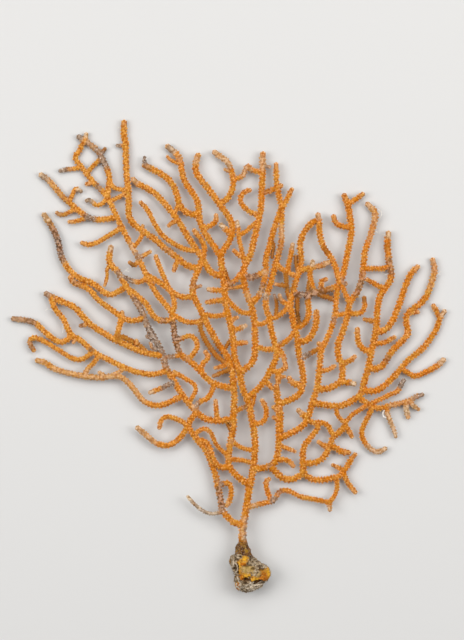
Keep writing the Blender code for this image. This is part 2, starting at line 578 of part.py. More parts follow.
            BRANCH, (371.3, 350.5), (366, 350.5), (361, 347.3), (358, 342), (357, 335), (357, 330),
        ),
        "left_stub": shoot(SPRIG, (376, 321.5), (370, 320.5), (364.7, 319.3)),
        "right_stub": shoot(TWIG, (373, 343), (380, 343.2), (386, 341.5), (393.3, 337.5)),
        "high_rung": shoot(TWIG, (390, 266), (382, 268.3), (375, 268.3), (363, 268.3), joined=True),
        "slanting_stub": shoot(TWIG, (384.5, 289), (377, 285.3), (372, 282.3), (367.5, 279.8)),
    },
    "far_right_upper": {
        "main": shoot(
            LIMB, (375, 332), (381, 331.3), (386.5, 328.3), (391, 322.5), (394.5, 315.5), (397.3, 308.5),
            (400, 301), (402.5, 293.5), (405.3, 285.5), (408, 278.5), (411.5, 272.5), (416.8, 267.3),
            tip=BRANCH,
        ),
    },
    "far_right_middle": {
        "main": shoot(
            LIMB, (368, 368), (375, 368.7), (380.5, 366.8), (385, 361.8), (388.5, 355.5), (393, 349.5),
            (398.5, 343.8), (404.5, 338), (408, 332.5), (406.3, 325), (405.7, 319), (407.7, 313.3),
            (413, 308.7), (419, 304.3), (424, 299.3), (427.5, 293.3), (430, 287), (432.3, 280),
            (434, 273), (434.5, 267), (432.8, 260.5), tip=BRANCH,
        ),
        "stub": shoot(SPRIG, (408.5, 312.5), (417, 312)),
    },
    "far_right_lower": {
        "main": shoot(
            LIMB, (361.5, 390), (370, 391), (377, 390), (383, 386.3), (389, 381), (395, 375),
            (400.5, 368.5), (406, 362), (412, 356.8), (418, 352), (424, 346.5), (429, 340.3), (433, 334),
            (436.8, 328), (438.7, 321.5), (441, 316), (443.8, 312), tip=TWIG,
        ),
        "second_tip": shoot(TWIG, (440, 319), (436.5, 311), (433.8, 306.3)),
        "side_branch": shoot(
            TWIG, (400, 368), (406.5, 371.7), (413, 375.8), (419, 375), (426, 371.7), (433, 368),
            (439, 364.3), (442.8, 360.5), tip=BRANCH,
        ),
    },
    "low_right_branch": {
        "main": shoot(
            BRANCH, (359, 397.5), (365, 402), (371, 406), (378, 408), (385, 407), (392, 404.7),
            (399, 403.5), (405, 401.7), (411, 399.3), (417, 396.3), (421.3, 394.8), tip=SPRIG,
        ),
        "thin_twig": shoot(
            SPRIG, (369, 404.5), (376, 401), (384, 397.3), (391, 393.7), (397, 391.3), (400.5, 385),
            (403, 381), tip=TWIG,
        ),
        "hanging_twig": shoot(
            TWIG, (386, 407.5), (387, 413), (389.5, 420), (393, 428), (395.3, 435.8), tip=STRAND,
        ),
        "pale_stub": shoot(TWIG, (405.5, 402), (406, 409), (407.7, 416.3)),
        "right_stub": shoot(SPRIG, (409.5, 400.5), (413, 405.5), (417.5, 408.7)),
    },
    "low_right_hook": {
        "main": shoot(
            TWIG, (371.5, 407), (369.3, 413.5), (366, 420), (362.8, 426.5), (361.3, 433), (363, 439.5),
            (367, 445.5), (372, 450), (377, 452), (382, 450.5), (384.3, 449),
        ),
    },
    "right_mesh_links": {
        "main": shoot(
            SPRIG, (336, 404.5), (336.5, 413), (339.5, 418), (344.7, 421.8), (350, 416.3), (356, 411.7),
            (362, 408), (367, 403.5), joined=True,
        ),
        "lower_end": shoot(SPRIG, (343.4, 419), (345.5, 427.5), joined=True),
    },
    "bottom_branch": {
        "main": shoot(
            TWIG, (245.5, 507), (253, 505.5), (260, 503.5), (267, 502), (273, 500.5), (276, 496),
            (279, 491.5), (283, 490), (289, 490.7), (295, 494), (301, 496.7), (308, 498), (315, 499.3),
            (322, 500.7), (328.5, 503), (329.3, 508.7), tip=SPRIG,
        ),
        "left_curl": shoot(TWIG, (271, 501), (268.5, 495), (266.3, 488), (265.5, 482), (268, 479.5)),
        "strand_up": shoot(
            SPRIG, (328.5, 502.5), (332.5, 498), (335.8, 491.5), (336.8, 484), (335.5, 477.5),
            joined=True,
        ),
    },
}


def ground_point(px, py):
    """Where a point of the photograph lies on the ground, in metres."""
    return Vector(((px - PHOTO_CENTRE_X) * PIXEL, (PHOTO_CENTRE_Y - py) * PIXEL))


def sheet_height(x, y):
    """Height of a shoot's centre line: a low dome, raised again where the stem meets the stone."""
    reach = math.hypot(x, y - DOME_CENTRE_Y) / DOME_REACH
    dome = DOME_RISE * max(0.0, 1.0 - reach * reach)
    along_foot = min(1.0, max(0.0, (FOOT_START_Y - y) / (FOOT_START_Y - FOOT_END_Y)))
    foot = FOOT_RISE * along_foot * along_foot * (3.0 - 2.0 * along_foot)
    return REST_HEIGHT + dome + foot


def smooth_route(points):
    """Evenly spaced points on a smooth curve through a shoot's points, on the ground."""
    knots = [ground_point(px, py) for px, py in points]
    tangents = []
    for i, knot in enumerate(knots):
        before = knots[max(i - 1, 0)]
        after = knots[min(i + 1, len(knots) - 1)]
        tangents.append((after - before).normalized())
    route = [knots[0]]
    for i in range(len(knots) - 1):
        length = (knots[i + 1] - knots[i]).length
        handle_out = knots[i] + tangents[i] * (length / 3.0)
        handle_in = knots[i + 1] - tangents[i + 1] * (length / 3.0)
        count = max(2, math.ceil(length / FINE_STEP) + 1)
        route.extend(geometry.interpolate_bezier(knots[i], handle_out, handle_in, knots[i + 1], count)[1:])
    return route


def thinned(route, first, last):
    """Indices of the route points that the solid needs to stay within the tolerance, without the last."""
    chord_start = route[first]
    chord = (route[last] - chord_start).normalized()
    farthest = first
    distance = SHAPE_TOLERANCE
    for i in range(first + 1, last):
        offset = route[i] - chord_start
        away = abs(chord.x * offset.y - chord.y * offset.x)
        if away > distance:
            farthest = i
            distance = away
    if farthest == first:
        return [first]
    return thinned(route, first, farthest) + thinned(route, farthest, last)


def stations(item):
    """Centre points and radii of one shoot, root to tip; a free tip is rounded off."""
    route = smooth_route(item["points"])
    last = len(route) - 1
    rows = []
    for i in [*thinned(route, 0, last), last]:
        share = i / last
        if item["joined"]:
            raised = item["lift"] * math.sin(math.pi * share)
        else:
            raised = item["lift"] * min(1.0, 2.0 * share)
        x, y = route[i]
        radius = item["radius"] + (item["tip"] - item["radius"]) * share
        rows.append((Vector((x, y, sheet_height(x, y) + raised)), radius))
    end, radius = rows[-1]
    outward = (end - rows[-2][0]).normalized()
    if side_count(rows) == 4:
        rows = [(centre, around * SQUARE_BAR_SWELL) for centre, around in rows]
    if not item["joined"]:
        rows[-1] = (end + outward * radius * TIP_LENGTH, radius * TIP_TAPER)
    return rows


def side_count(rows):
    """Six sides for a limb, four for a twig."""
    return 6 if rows[0][1] > THINNEST_SIX_SIDED else 4


def tube(name, rows, sides):
    """A closed mesh object: a bar of so many sides along the rows of centre points and radii."""
    curve = bpy.data.curves.new(name, "CURVE")
    curve.dimensions = "3D"
    curve.bevel_depth = 1.0
    curve.bevel_resolution = sides // 2 - 2
    curve.render_resolution_u = 0
    curve.use_fill_caps = True
    spline = curve.splines.new("POLY")
    spline.points.add(len(rows) - 1)
    for point, (centre, radius) in zip(spline.points, rows):
        point.co = (*centre, 1.0)
        point.radius = radius
    bar = bpy.data.objects.new(name, curve)
    bpy.context.scene.collection.objects.link(bar)
    depsgraph = bpy.context.evaluated_depsgraph_get()
    mesh = bpy.data.meshes.new_from_object(bar.evaluated_get(depsgraph))
    bpy.data.objects.remove(bar)
    bpy.data.curves.remove(curve)
    weld(mesh)
    return bpy.data.objects.new(name, mesh)


def weld(mesh):
    """Closes a curve's loose caps and turns every face outward."""
    shape = bmesh.new()
    shape.from_mesh(mesh)
    bmesh.ops.remove_doubles(shape, verts=shape.verts, dist=CAP_WELD)
    bmesh.ops.recalc_face_normals(shape, faces=shape.faces)
    shape.to_mesh(mesh)
    shape.free()


def grown(rows):
    """The rows of a cutter that clears a shoot by the gap, also past both its ends."""
    corner_gap = GAP / math.cos(math.pi / side_count(rows))
    wide = [(centre, radius + corner_gap) for centre, radius in rows]
    first = (wide[0][0] - wide[1][0]).normalized()
    last = (wide[-1][0] - wide[-2][0]).normalized()
    wide[0] = (wide[0][0] + first * GAP, wide[0][1])
    wide[-1] = (wide[-1][0] + last * GAP, wide[-1][1])
    return wide


def box_of(rows):
    """Corners of the box around a shoot."""
    low = Vector([min(centre[axis] - radius for centre, radius in rows) for axis in range(3)])
    high = Vector([max(centre[axis] + radius for centre, radius in rows) for axis in range(3)])
    return low, high


def boxes_meet(one, other):
    """Whether two boxes come within two gaps of each other."""
    reach = 2 * GAP
    return all(
        one[0][axis] - reach < other[1][axis] and other[0][axis] - reach < one[1][axis] for axis in range(3)
    )


def apply_step(target, step):
    """Makes a modifier's result the object's own mesh."""
    depsgraph = bpy.context.evaluated_depsgraph_get()
    result = bpy.data.meshes.new_from_object(target.evaluated_get(depsgraph))
    target.modifiers.remove(step)
    target.data = result


def combine(target, operation, others):
    """Joins the other objects to the target, or cuts them from it, and removes them."""
    if not others:
        return
    operands = bpy.data.collections.new(operation)
    for other in others:
        operands.objects.link(other)
    step = target.modifiers.new(operation, "BOOLEAN")
    step.operation = operation
    step.operand_type = "COLLECTION"
    step.collection = operands
    apply_step(target, step)
    bpy.data.collections.remove(operands)
    for other in others:
        bpy.data.objects.remove(other)


def keep_largest_body(mesh):
    """Drops the slivers and stray edges that a cut leaves, and merges the specks along it."""
    shape = bmesh.new()
    shape.from_mesh(mesh)
    bmesh.ops.remove_doubles(shape, verts=shape.verts, dist=SPECK)
    bmesh.ops.dissolve_degenerate(shape, edges=shape.edges, dist=SPECK)
    stray = [edge for edge in shape.edges if not edge.link_faces]
    bmesh.ops.delete(shape, geom=stray, context="EDGES")
    waiting = set(shape.verts)
    bodies = []
    while waiting:
        found = [waiting.pop()]
        body = set(found)
        while found:
            vertex = found.pop()
            for edge in vertex.link_edges:
                neighbour = edge.other_vert(vertex)
                if neighbour not in body:
                    body.add(neighbour)
                    found.append(neighbour)
        waiting -= body
        bodies.append(body)
    bodies.sort(key=len)
    for body in bodies[:-1]:
        bmesh.ops.delete(shape, geom=list(body), context="VERTS")
    shape.to_mesh(mesh)
    shape.free()


def material(name, colour, roughness):
    """A plain surface of one colour."""
    surface = bpy.data.materials.new(name)
    surface.use_nodes = True
    principled = surface.node_tree.nodes["Principled BSDF"]
    principled.inputs["Base Color"].default_value = colour
    principled.inputs["Roughness"].default_value = roughness
    principled.inputs["Metallic"].default_value = 0.0
    return surface


def outline_radius(angle):
    """Distance from the stone's middle to its outline, in one direction."""
    middle = ground_point(*STONE_MIDDLE)
    spokes = []
    for px, py in STONE_OUTLINE:
        spoke = ground_point(px, py) - middle
        spokes.append((math.atan2(spoke.y, spoke.x) % math.tau, spoke.length))
    spokes.sort()
    spokes = [(spokes[-1][0] - math.tau, spokes[-1][1]), *spokes, (spokes[0][0] + math.tau, spokes[0][1])]
    for (start, near), (end, far) in zip(spokes, spokes[1:]):
        if start <= angle <= end:
            return near + (far - near) * (angle - start) / (end - start)
    return spokes[0][1]


def make_stone(collection):
    """The lump of stone: a ball drawn out to its outline, rugged above and flat underneath."""
    mesh = bpy.data.meshes.new("base_stone")
    shape = bmesh.new()
    bmesh.ops.create_uvsphere(shape, u_segments=STONE_SEGMENTS, v_segments=STONE_RINGS, radius=1.0)
    middle = ground_point(*STONE_MIDDLE)
    for vertex in shape.verts:
        flat = math.hypot(vertex.co.x, vertex.co.y)
        angle = math.atan2(vertex.co.y, vertex.co.x) % math.tau
        spread = outline_radius(angle) * min(1.0, flat ** STONE_SHOULDER)
        height = STONE_WAIST + vertex.co.z * (STONE_HEIGHT - STONE_WAIST)
        if vertex.co.z < 0:
            height = STONE_WAIST + vertex.co.z * STONE_WAIST * STONE_UNDERSIDE
        bump = noise.noise(vertex.co * STONE_LUMPS) * STONE_RUGGEDNESS
        place = Vector((math.cos(angle), math.sin(angle))) * (spread + bump * flat) + middle
        height += STONE_TOP_RUGGEDNESS * bump * max(0.0, vertex.co.z)
        vertex.co = (place.x, place.y, max(0.0, height))
    flat_faces = [face for face in shape.faces if all(vertex.co.z < SPECK for vertex in face.verts)]
    bmesh.ops.dissolve_faces(shape, faces=flat_faces, use_verts=True)
    bmesh.ops.recalc_face_normals(shape, faces=shape.faces)
    shape.to_mesh(mesh)
    shape.free()
    stone = bpy.data.objects.new("base_stone", mesh)
    mesh.materials.append(material("stone", STONE_GREY, 0.9))
    collection.objects.link(stone)
    return stone


def make_holdfast(collection, stone):
    """The brown collar that spreads from the stem's foot onto the stone."""
    rows = []
    for px, py, radius in HOLDFAST_PROFILE:
        x, y = ground_point(px, py)
        rows.append((Vector((x, y, HOLDFAST_HEIGHT_ABOVE_GROUND)), radius))
    collar = tube("holdfast", rows, HOLDFAST_SIDES)
    cutter_mesh = stone.data.copy()
    cutter = bpy.data.objects.new("stone_cutter", cutter_mesh)
    shape = bmesh.new()
    shape.from_mesh(cutter_mesh)
    shape.normal_update()
    for vertex in shape.verts:
        vertex.co += vertex.normal * GAP * STONE_CUT_MARGIN
    shape.to_mesh(cutter_mesh)
    shape.free()
    bpy.context.scene.collection.objects.link(collar)
    combine(collar, "DIFFERENCE", [cutter])
    keep_largest_body(collar.data)
    bpy.context.scene.collection.objects.unlink(collar)
    collar.data.materials.clear()
    collar.data.materials.append(material("holdfast_tissue", COLLAR_BROWN, 0.85))
    collection.objects.link(collar)
    return rows


def make_limb(collection, name, shoots, earlier):
    """One limb: its shoots joined into one solid and cut back from the limbs before it."""
    own = {shoot_name: stations(item) for shoot_name, item in shoots.items()}
    pieces = [tube(f"{name}_{shoot_name}", rows, side_count(rows)) for shoot_name, rows in own.items()]
    limb = pieces[0]
    bpy.context.scene.collection.objects.link(limb)
    combine(limb, "UNION", pieces[1:])
    boxes = [box_of(rows) for rows in own.values()]
    cutters = []
    for number, rows in enumerate(earlier):
        if any(boxes_meet(box_of(rows), box) for box in boxes):
            cutters.append(tube(f"{name}_cutter_{number}", grown(rows), side_count(rows)))
    combine(limb, "DIFFERENCE", cutters)
    lighten = limb.modifiers.new("lighten", "DECIMATE")
    lighten.ratio = KEPT_SHARE
    apply_step(limb, lighten)
    keep_largest_body(limb.data)
    bpy.context.scene.collection.objects.unlink(limb)
    limb.name = name
    limb.data.name = name
    limb.data.materials.clear()
    limb.data.materials.append(material(f"{name}_tissue", ORANGE, 0.7))
    collection.objects.link(limb)
    return list(own.values())


def centre_on_origin(collection):
    """Moves the whole fan so that the origin is under the middle of its box."""
    corners = [vertex.co for item in collection.objects for vertex in item.data.vertices]
    shift = Vector((
        -(min(co.x for co in corners) + max(co.x for co in corners)) / 2.0,
        -(min(co.y for co in corners) + max(co.y for co in corners)) / 2.0,
        -min(co.z for co in corners),
    ))
    for item in collection.objects:
        for vertex in item.data.vertices:
            vertex.co += shift
        item.data.shade_smooth()
        item.data.set_sharp_from_angle(angle=math.radians(50))


def main():
    for item in list(bpy.data.objects):
        bpy.data.objects.remove(item)
    collection = bpy.data.collections.new("sea_fan")
    bpy.context.scene.collection.children.link(collection)
    stone = make_stone(collection)
    fitted = [make_holdfast(collection, stone)]
    for name, shoots in LIMBS.items():
        fitted.extend(make_limb(collection, name, shoots, fitted))
    centre_on_origin(collection)


main()
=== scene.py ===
"""The looks of an orange sea fan on its lump of stone, lying flat and seen from straight above.

Metres, +Z up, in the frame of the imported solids, with the branch tips towards +Y. The script
follows the fan as it grew: the stone, the holdfast, the stem, then the limbs from left to right.
"""

import math

import bmesh
import bpy
import numpy as np
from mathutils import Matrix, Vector, bvhtree, geometry, noise


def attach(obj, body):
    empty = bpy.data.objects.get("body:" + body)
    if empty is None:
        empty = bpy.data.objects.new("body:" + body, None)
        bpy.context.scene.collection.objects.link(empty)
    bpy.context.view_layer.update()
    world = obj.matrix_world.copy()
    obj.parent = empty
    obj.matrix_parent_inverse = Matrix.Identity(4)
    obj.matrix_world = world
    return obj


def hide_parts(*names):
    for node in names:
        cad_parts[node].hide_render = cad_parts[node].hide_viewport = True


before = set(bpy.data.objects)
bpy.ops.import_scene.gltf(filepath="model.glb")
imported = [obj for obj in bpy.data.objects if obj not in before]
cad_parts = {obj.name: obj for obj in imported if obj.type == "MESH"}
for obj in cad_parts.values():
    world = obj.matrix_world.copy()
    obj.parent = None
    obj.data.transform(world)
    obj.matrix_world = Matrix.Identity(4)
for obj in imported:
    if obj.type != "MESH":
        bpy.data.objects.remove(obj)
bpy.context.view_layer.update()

# The lump of stone that the fan grew on: a pebble of reef rock, rounded on top and worn flat
# underneath. Crusts cover it in patches: orange sponge, a beige film, and grey lime. Its outline
# and its patches are given by their places in the photograph.
FAN_LENGTH = 0.2124
FAN_LENGTH_IN_PHOTO = 472
PIXEL = FAN_LENGTH / FAN_LENGTH_IN_PHOTO
ORIGIN_IN_PHOTO = (228.618, 355.651)
STONE_MIDDLE = (249.5, 571)
STONE_OUTLINE = (
    (269.6, 570.5), (268, 577), (262.8, 583.3), (256, 588), (250.5, 590.8), (245, 590.2), (237, 588.3),
    (235, 583), (234.9, 575), (232.6, 567.5), (229.8, 562), (231.4, 555.5), (237, 552.5), (244, 551.8),
    (250.6, 555.4), (257, 560), (261.3, 563), (266.5, 566.2),
)
STONE_HEIGHT = 0.0128
STONE_WAIST = 0.0060
STONE_HEART = 0.0048
STONE_SHOULDER = 0.75
STONE_UNDERSIDE = 1.6
STONE_DETAIL = 7
WAIST_BLUR = 0.15
LUMPS_ROUND = 2.3
LUMP = 0.0007
LUMP_RISE = 1.6
LEDGES_ROUND = 5.5
LEDGE = 0.00035
LEDGE_RISE = 0.0005
CRUST_EDGES = ((1.0, 420.0, 0.0), (0.8, 1100.0, 3.0), (0.6, 2500.0, 0.0))
CRUST_WANDER = 0.42
CRUST_FADE = (-0.10, 0.22)
HOLLOW_DEPTH = 0.0016
SPONGE_THICKNESS = 0.00030
SPONGE_SWELL = 0.00038
SPONGE_PITS = 0.00022
SPONGE_BELOW = 0.8
FILM_THICKNESS = 0.00015
FILM_PITS = 0.00020
CRUST_PITS = 0.00034
CRUST_SWELL = 0.00022
CRUST_GRIT = 0.00015
RESTING_EDGE = 0.0004
# Painted shade in the low pits of the crust.
CREVICE_SHADE_BROWN = (0.050, 0.026, 0.010)
LIME_BROWN = (0.125, 0.082, 0.040)
LIME_BEIGE = (0.31, 0.215, 0.115)
LIME_WHITE = (0.46, 0.37, 0.25)
# Painted highlight on the raised parts of the crust.
RIDGE_HIGHLIGHT_WHITE = (0.56, 0.455, 0.33)
RIDGE_HIGHLIGHT_STRENGTH = 0.7
FILM_OLIVE = (0.30, 0.20, 0.05)
FILM_BEIGE = (0.47, 0.30, 0.12)
FILM_BROWN = (0.20, 0.12, 0.05)
SPONGE_ORANGE = (0.56, 0.235, 0.016)
SPONGE_OCHRE = (0.44, 0.225, 0.032)
SPONGE_RED = (0.42, 0.125, 0.006)
# Painted highlight on the sponge.
SPONGE_HIGHLIGHT_YELLOW = (0.68, 0.345, 0.022)
SPONGE_CREAM = (0.60, 0.34, 0.09)
SPONGE_BROWN = (0.20, 0.075, 0.010)
# Painted shade inside the hollows.
HOLLOW_SHADE_BLACK = (0.040, 0.014, 0.003)
HOLLOW_SHADE_BROWN = (0.14, 0.055, 0.010)


def ground_point(px, py):
    """Where a point of the photograph lies on the ground."""
    return Vector(((px - ORIGIN_IN_PHOTO[0]) * PIXEL, (ORIGIN_IN_PHOTO[1] - py) * PIXEL))


def photo_point(places):
    """The photograph's coordinates of an array of places."""
    return places[:, 0] / PIXEL + ORIGIN_IN_PHOTO[0], ORIGIN_IN_PHOTO[1] - places[:, 1] / PIXEL


def soft_step(value, low, high):
    """Rises smoothly from 0 at low to 1 at high."""
    share = np.clip((value - low) / (high - low), 0.0, 1.0)
    return share * share * (3.0 - 2.0 * share)


def cloud(places, scale, shift=0.0):
    """Smooth noise from -1 to 1 in lumps of about 1 / scale metres; each shift is another noise."""
    return np.array([noise.noise((p[0] * scale + shift, p[1] * scale, p[2] * scale)) for p in places])


def clouds(places, layers):
    """A sum of such noises, each with its weight, scale and shift."""
    return sum(weight * cloud(places, scale, shift) for weight, scale, shift in layers)


def length_of(rows):
    """The length of every vector, as a column."""
    return np.linalg.norm(rows, axis=1)[:, None]


def make_piece(name, skin, marks, surface, slot, *nodes):
    """A smooth mesh piece with its colour marks, which stands for the named solids."""
    places, faces = skin
    mesh = bpy.data.meshes.new(name)
    mesh.from_pydata(places.tolist(), [], faces)
    for mark, values in marks.items():
        mesh.attributes.new(mark, "FLOAT", "POINT").data.foreach_set("value", values.astype(np.float32))
    mesh.shade_smooth()
    mesh.materials.append(surface)
    item = bpy.data.objects.new(name, mesh)
    bpy.context.scene.collection.objects.link(item)
    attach(item, "root")
    if nodes:
        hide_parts(*nodes)
    return item


def new_surface(name, roughness, specular):
    """A material, its node tree and shader, and the object coordinates that its patterns use."""
    surface = bpy.data.materials.new(name)
    surface.use_nodes = True
    shader = surface.node_tree.nodes["Principled BSDF"]
    shader.inputs["Roughness"].default_value = roughness
    shader.inputs["Specular IOR Level"].default_value = specular
    place = surface.node_tree.nodes.new("ShaderNodeTexCoord")
    return surface, surface.node_tree, shader, place.outputs["Object"]


def noise_pattern(tree, place, scale, detail):
    """A noise of the given scale."""
    pattern = tree.nodes.new("ShaderNodeTexNoise")
    pattern.inputs["Scale"].default_value = scale
    pattern.inputs["Detail"].default_value = detail
    tree.links.new(place, pattern.inputs["Vector"])
    return pattern.outputs["Fac"]


def spread_out(tree, value, low, high, first=0.0, last=1.0):
    """A value that runs from first to last while the one given runs from low to high."""
    spread = tree.nodes.new("ShaderNodeMapRange")
    for socket, number in (("From Min", low), ("From Max", high), ("To Min", first), ("To Max", last)):
        spread.inputs[socket].default_value = number
    tree.links.new(value, spread.inputs["Value"])
    return spread.outputs["Result"]


def speckle(tree, place, scale, low, high):
    """A noise pattern that is 0 below low and 1 above high."""
    return spread_out(tree, noise_pattern(tree, place, scale, 3.0), low, high)


def marked(tree, mark):
    """A colour mark that the mesh carries at its points."""
    reader = tree.nodes.new("ShaderNodeAttribute")
    reader.attribute_name = mark
    return reader.outputs["Fac"]


def product(tree, one, other):
    """One factor times another, which may be a number."""
    times = tree.nodes.new("ShaderNodeMath")
    times.operation = "MULTIPLY"
    tree.links.new(one, times.inputs[0])
    if isinstance(other, float):
        times.inputs[1].default_value = other
    else:
        tree.links.new(other, times.inputs[1])
    return times.outputs["Value"]


def painted(tree, factor, below, above):
    """The colour below with the colour above laid over it where the factor is 1."""
    mix = tree.nodes.new("ShaderNodeMix")
    mix.data_type = "RGBA"
    mix.clamp_factor = True
    tree.links.new(factor, mix.inputs[0])
    for socket, colour in ((mix.inputs[6], below), (mix.inputs[7], above)):
        if isinstance(colour, tuple):
            socket.default_value = (*colour, 1.0)
        else:
            tree.links.new(colour, socket)
    return mix.outputs[2]


def speckled(tree, place, colour, *layers):
    """A colour under layers of specks, each with its noise scale, its two limits and its colour."""
    for scale, low, high, specks in layers:
        colour = painted(tree, speckle(tree, place, scale, low, high), colour, specks)
    return colour


def roughened(tree, place, shader, *layers):
    """Fine relief on a shader: each layer is the scale, strength and depth of one noise."""
    below = None
    for scale, strength, depth in layers:
        bump = tree.nodes.new("ShaderNodeBump")
        bump.inputs["Strength"].default_value = strength
        bump.inputs["Distance"].default_value = depth
        tree.links.new(noise_pattern(tree, place, scale, 2.0), bump.inputs["Height"])
        if below:
            tree.links.new(below, bump.inputs["Normal"])
        below = bump.outputs["Normal"]
    tree.links.new(below, shader.inputs["Normal"])


def ball_skin(detail):
    """Points and faces of a ball of radius 1."""
    ball = bmesh.new()
    bmesh.ops.create_icosphere(ball, subdivisions=detail, radius=1.0)
    ball.verts.ensure_lookup_table()
    places = np.array([vertex.co[:] for vertex in ball.verts])
    faces = [[vertex.index for vertex in face.verts] for face in ball.faces]
    ball.free()
    return places, faces


def stone_reach(angles):
    """Distance from the stone's middle to its outline, in each direction."""
    middle = ground_point(*STONE_MIDDLE)
    spokes = [ground_point(*corner) - middle for corner in STONE_OUTLINE]
    around = np.array([math.atan2(spoke.y, spoke.x) % math.tau for spoke in spokes])
    reach = np.array([spoke.length for spoke in spokes])
    order = np.argsort(around)
    return np.interp(angles, around[order], reach[order], period=math.tau)


unit, stone_faces = ball_skin(STONE_DETAIL)
flat = np.hypot(unit[:, 0], unit[:, 1])
angle = np.arctan2(unit[:, 1], unit[:, 0]) % math.tau
upper = np.maximum(0.0, unit[:, 2])
lump = cloud(unit, LUMPS_ROUND) * LUMP
ledge = cloud(unit, LEDGES_ROUND, shift=7.0)
spread = stone_reach(angle) * np.minimum(1.0, flat ** STONE_SHOULDER) + lump * flat + ledge * LEDGE * flat
height = STONE_WAIST + unit[:, 2] * np.where(
    unit[:, 2] < 0, STONE_WAIST * STONE_UNDERSIDE, STONE_HEIGHT - STONE_WAIST,
)
height += (LUMP_RISE * lump + LEDGE_RISE * ledge) * upper
stone_middle = ground_point(*STONE_MIDDLE)
stone_places = np.column_stack((
    np.cos(angle) * spread + stone_middle.x, np.sin(angle) * spread + stone_middle.y, np.maximum(height, 0.0),
))
stone_px, stone_py = photo_point(stone_places)
wander = clouds(stone_places, CRUST_EDGES)
seen = soft_step(unit[:, 2], -WAIST_BLUR, WAIST_BLUR)


def stone_patches(*ovals):
    """Cover of one kind of patch on the upper side (crusts, hollows and painted highlights): ovals by their
    middle, half sizes and strength.
    """
    cover = np.zeros(len(stone_places))
    for x, y, half_width, half_height, strength in ovals:
        away = np.hypot((stone_px - x) / half_width, (stone_py - y) / half_height)
        cover = np.maximum(cover, strength * soft_step(1.0 - away + wander * CRUST_WANDER, *CRUST_FADE))
    return cover * seen


sponge = stone_patches(
    (241.2, 560.6, 4.6, 3.4, 1.0), (245.2, 557.2, 3.2, 3.6, 1.0), (239.6, 567, 2.4, 6.5, 1.0),
    (244.5, 573.6, 7.2, 4.6, 1.0), (254, 576.6, 6.2, 3.4, 1.0), (263.8, 573.6, 5.9, 7.4, 1.0),
    (237.6, 583.3, 2.5, 4.6, 1.0),
)
ember = stone_patches(
    (262.5, 575.5, 4.4, 5.4, 1.0), (241.5, 575, 3.0, 3.6, 1.0), (242, 562.6, 3.4, 1.5, 1.0),
    (238.0, 584, 2.2, 3.4, 1.0),
)
# Painted highlight: bright yellow patches laid over the sponge.
sponge_highlight = stone_patches(
    (245.6, 557, 2.6, 3.0, 1.0), (238.6, 563, 1.6, 3.4, 1.0), (247, 573.6, 4.8, 1.8, 1.0),
    (254, 577.4, 4.2, 2.0, 1.0), (267.8, 571, 1.8, 4.6, 1.0),
)
broken_film = stone_patches((256.0, 571.6, 4.6, 3.6, 1.0)) * soft_step(wander, -0.6, 0.2)
film = np.maximum(stone_patches((247.4, 567.6, 6.6, 4.2, 1.0)), broken_film)
# The hollows are sunk into the stone and painted near black as shade.
hollow = stone_patches(
    (246.8, 577.8, 4.2, 2.6, 1.0), (258.2, 580.8, 6.4, 3.0, 1.0), (237.0, 566.8, 1.6, 5.2, 1.0),
    (246.5, 563.4, 3.4, 1.1, 0.6), (261, 567.4, 3.6, 1.4, 0.7), (252.6, 566.6, 2.2, 1.2, 0.5),
)
sponge_below = soft_step(cloud(stone_places, 190.0, shift=5.0), 0.12, 0.3) * (1.0 - seen)
sponge = np.maximum(sponge * (1.0 - film), sponge_below * SPONGE_BELOW)
crust = (1.0 - sponge) * (1.0 - film)
pits = cloud(stone_places, 900.0, shift=9.0)
grit = cloud(stone_places, 2300.0, shift=2.0)
sponge_swell = cloud(stone_places, 520.0, shift=4.0)
crust_swell = cloud(stone_places, 560.0, shift=12.0)
relief = (
    sponge * (SPONGE_THICKNESS + SPONGE_SWELL * sponge_swell + SPONGE_PITS * pits) - hollow * HOLLOW_DEPTH
    + film * (FILM_THICKNESS + FILM_PITS * pits)
    + crust * (CRUST_PITS * pits + CRUST_SWELL * crust_swell + CRUST_GRIT * grit)
)
outward = stone_places - np.array((stone_middle.x, stone_middle.y, STONE_HEART))
outward /= length_of(outward)
resting = soft_step(stone_places[:, 2], 0.0, RESTING_EDGE)
stone_places += outward * (relief * resting)[:, None]
stone_places[:, 2] = np.maximum(stone_places[:, 2], 0.0)
# Painted shade: the low pits of the bare crust are marked to be darkened towards brown.
crevice_shade = crust * soft_step(-pits, 0.05, 0.40)
# Painted highlight: the raised parts of the bare crust are marked to be lightened towards white.
ridge_highlight = crust * soft_step(pits + 0.5 * grit, 0.12, 0.50)

# The stone's colours: the crusts, with painted shade in the crust's pits and in the hollows, and painted
# highlights on the crust's raised parts and on parts of the sponge.
surface, tree, shader, place = new_surface("reef_stone", roughness=0.85, specular=0.12)
colour = speckled(tree, place, LIME_BROWN, (900.0, 0.38, 0.60, LIME_BEIGE), (2400.0, 0.56, 0.64, LIME_WHITE))
# Painted highlight on the crust's raised parts.
colour = painted(tree, product(tree, marked(tree, "ridge_highlight"), RIDGE_HIGHLIGHT_STRENGTH), colour, RIDGE_HIGHLIGHT_WHITE)
# Painted shade in the crust's pits.
colour = painted(tree, marked(tree, "crevice_shade"), colour, CREVICE_SHADE_BROWN)
film_colour = speckled(
    tree, place, FILM_OLIVE, (900.0, 0.40, 0.62, FILM_BEIGE), (2100.0, 0.58, 0.66, FILM_BROWN),
)
colour = painted(tree, marked(tree, "film"), colour, film_colour)
sponge_colour = speckled(tree, place, SPONGE_ORANGE, (420.0, 0.38, 0.62, SPONGE_OCHRE))
sponge_colour = painted(tree, marked(tree, "ember"), sponge_colour, SPONGE_RED)
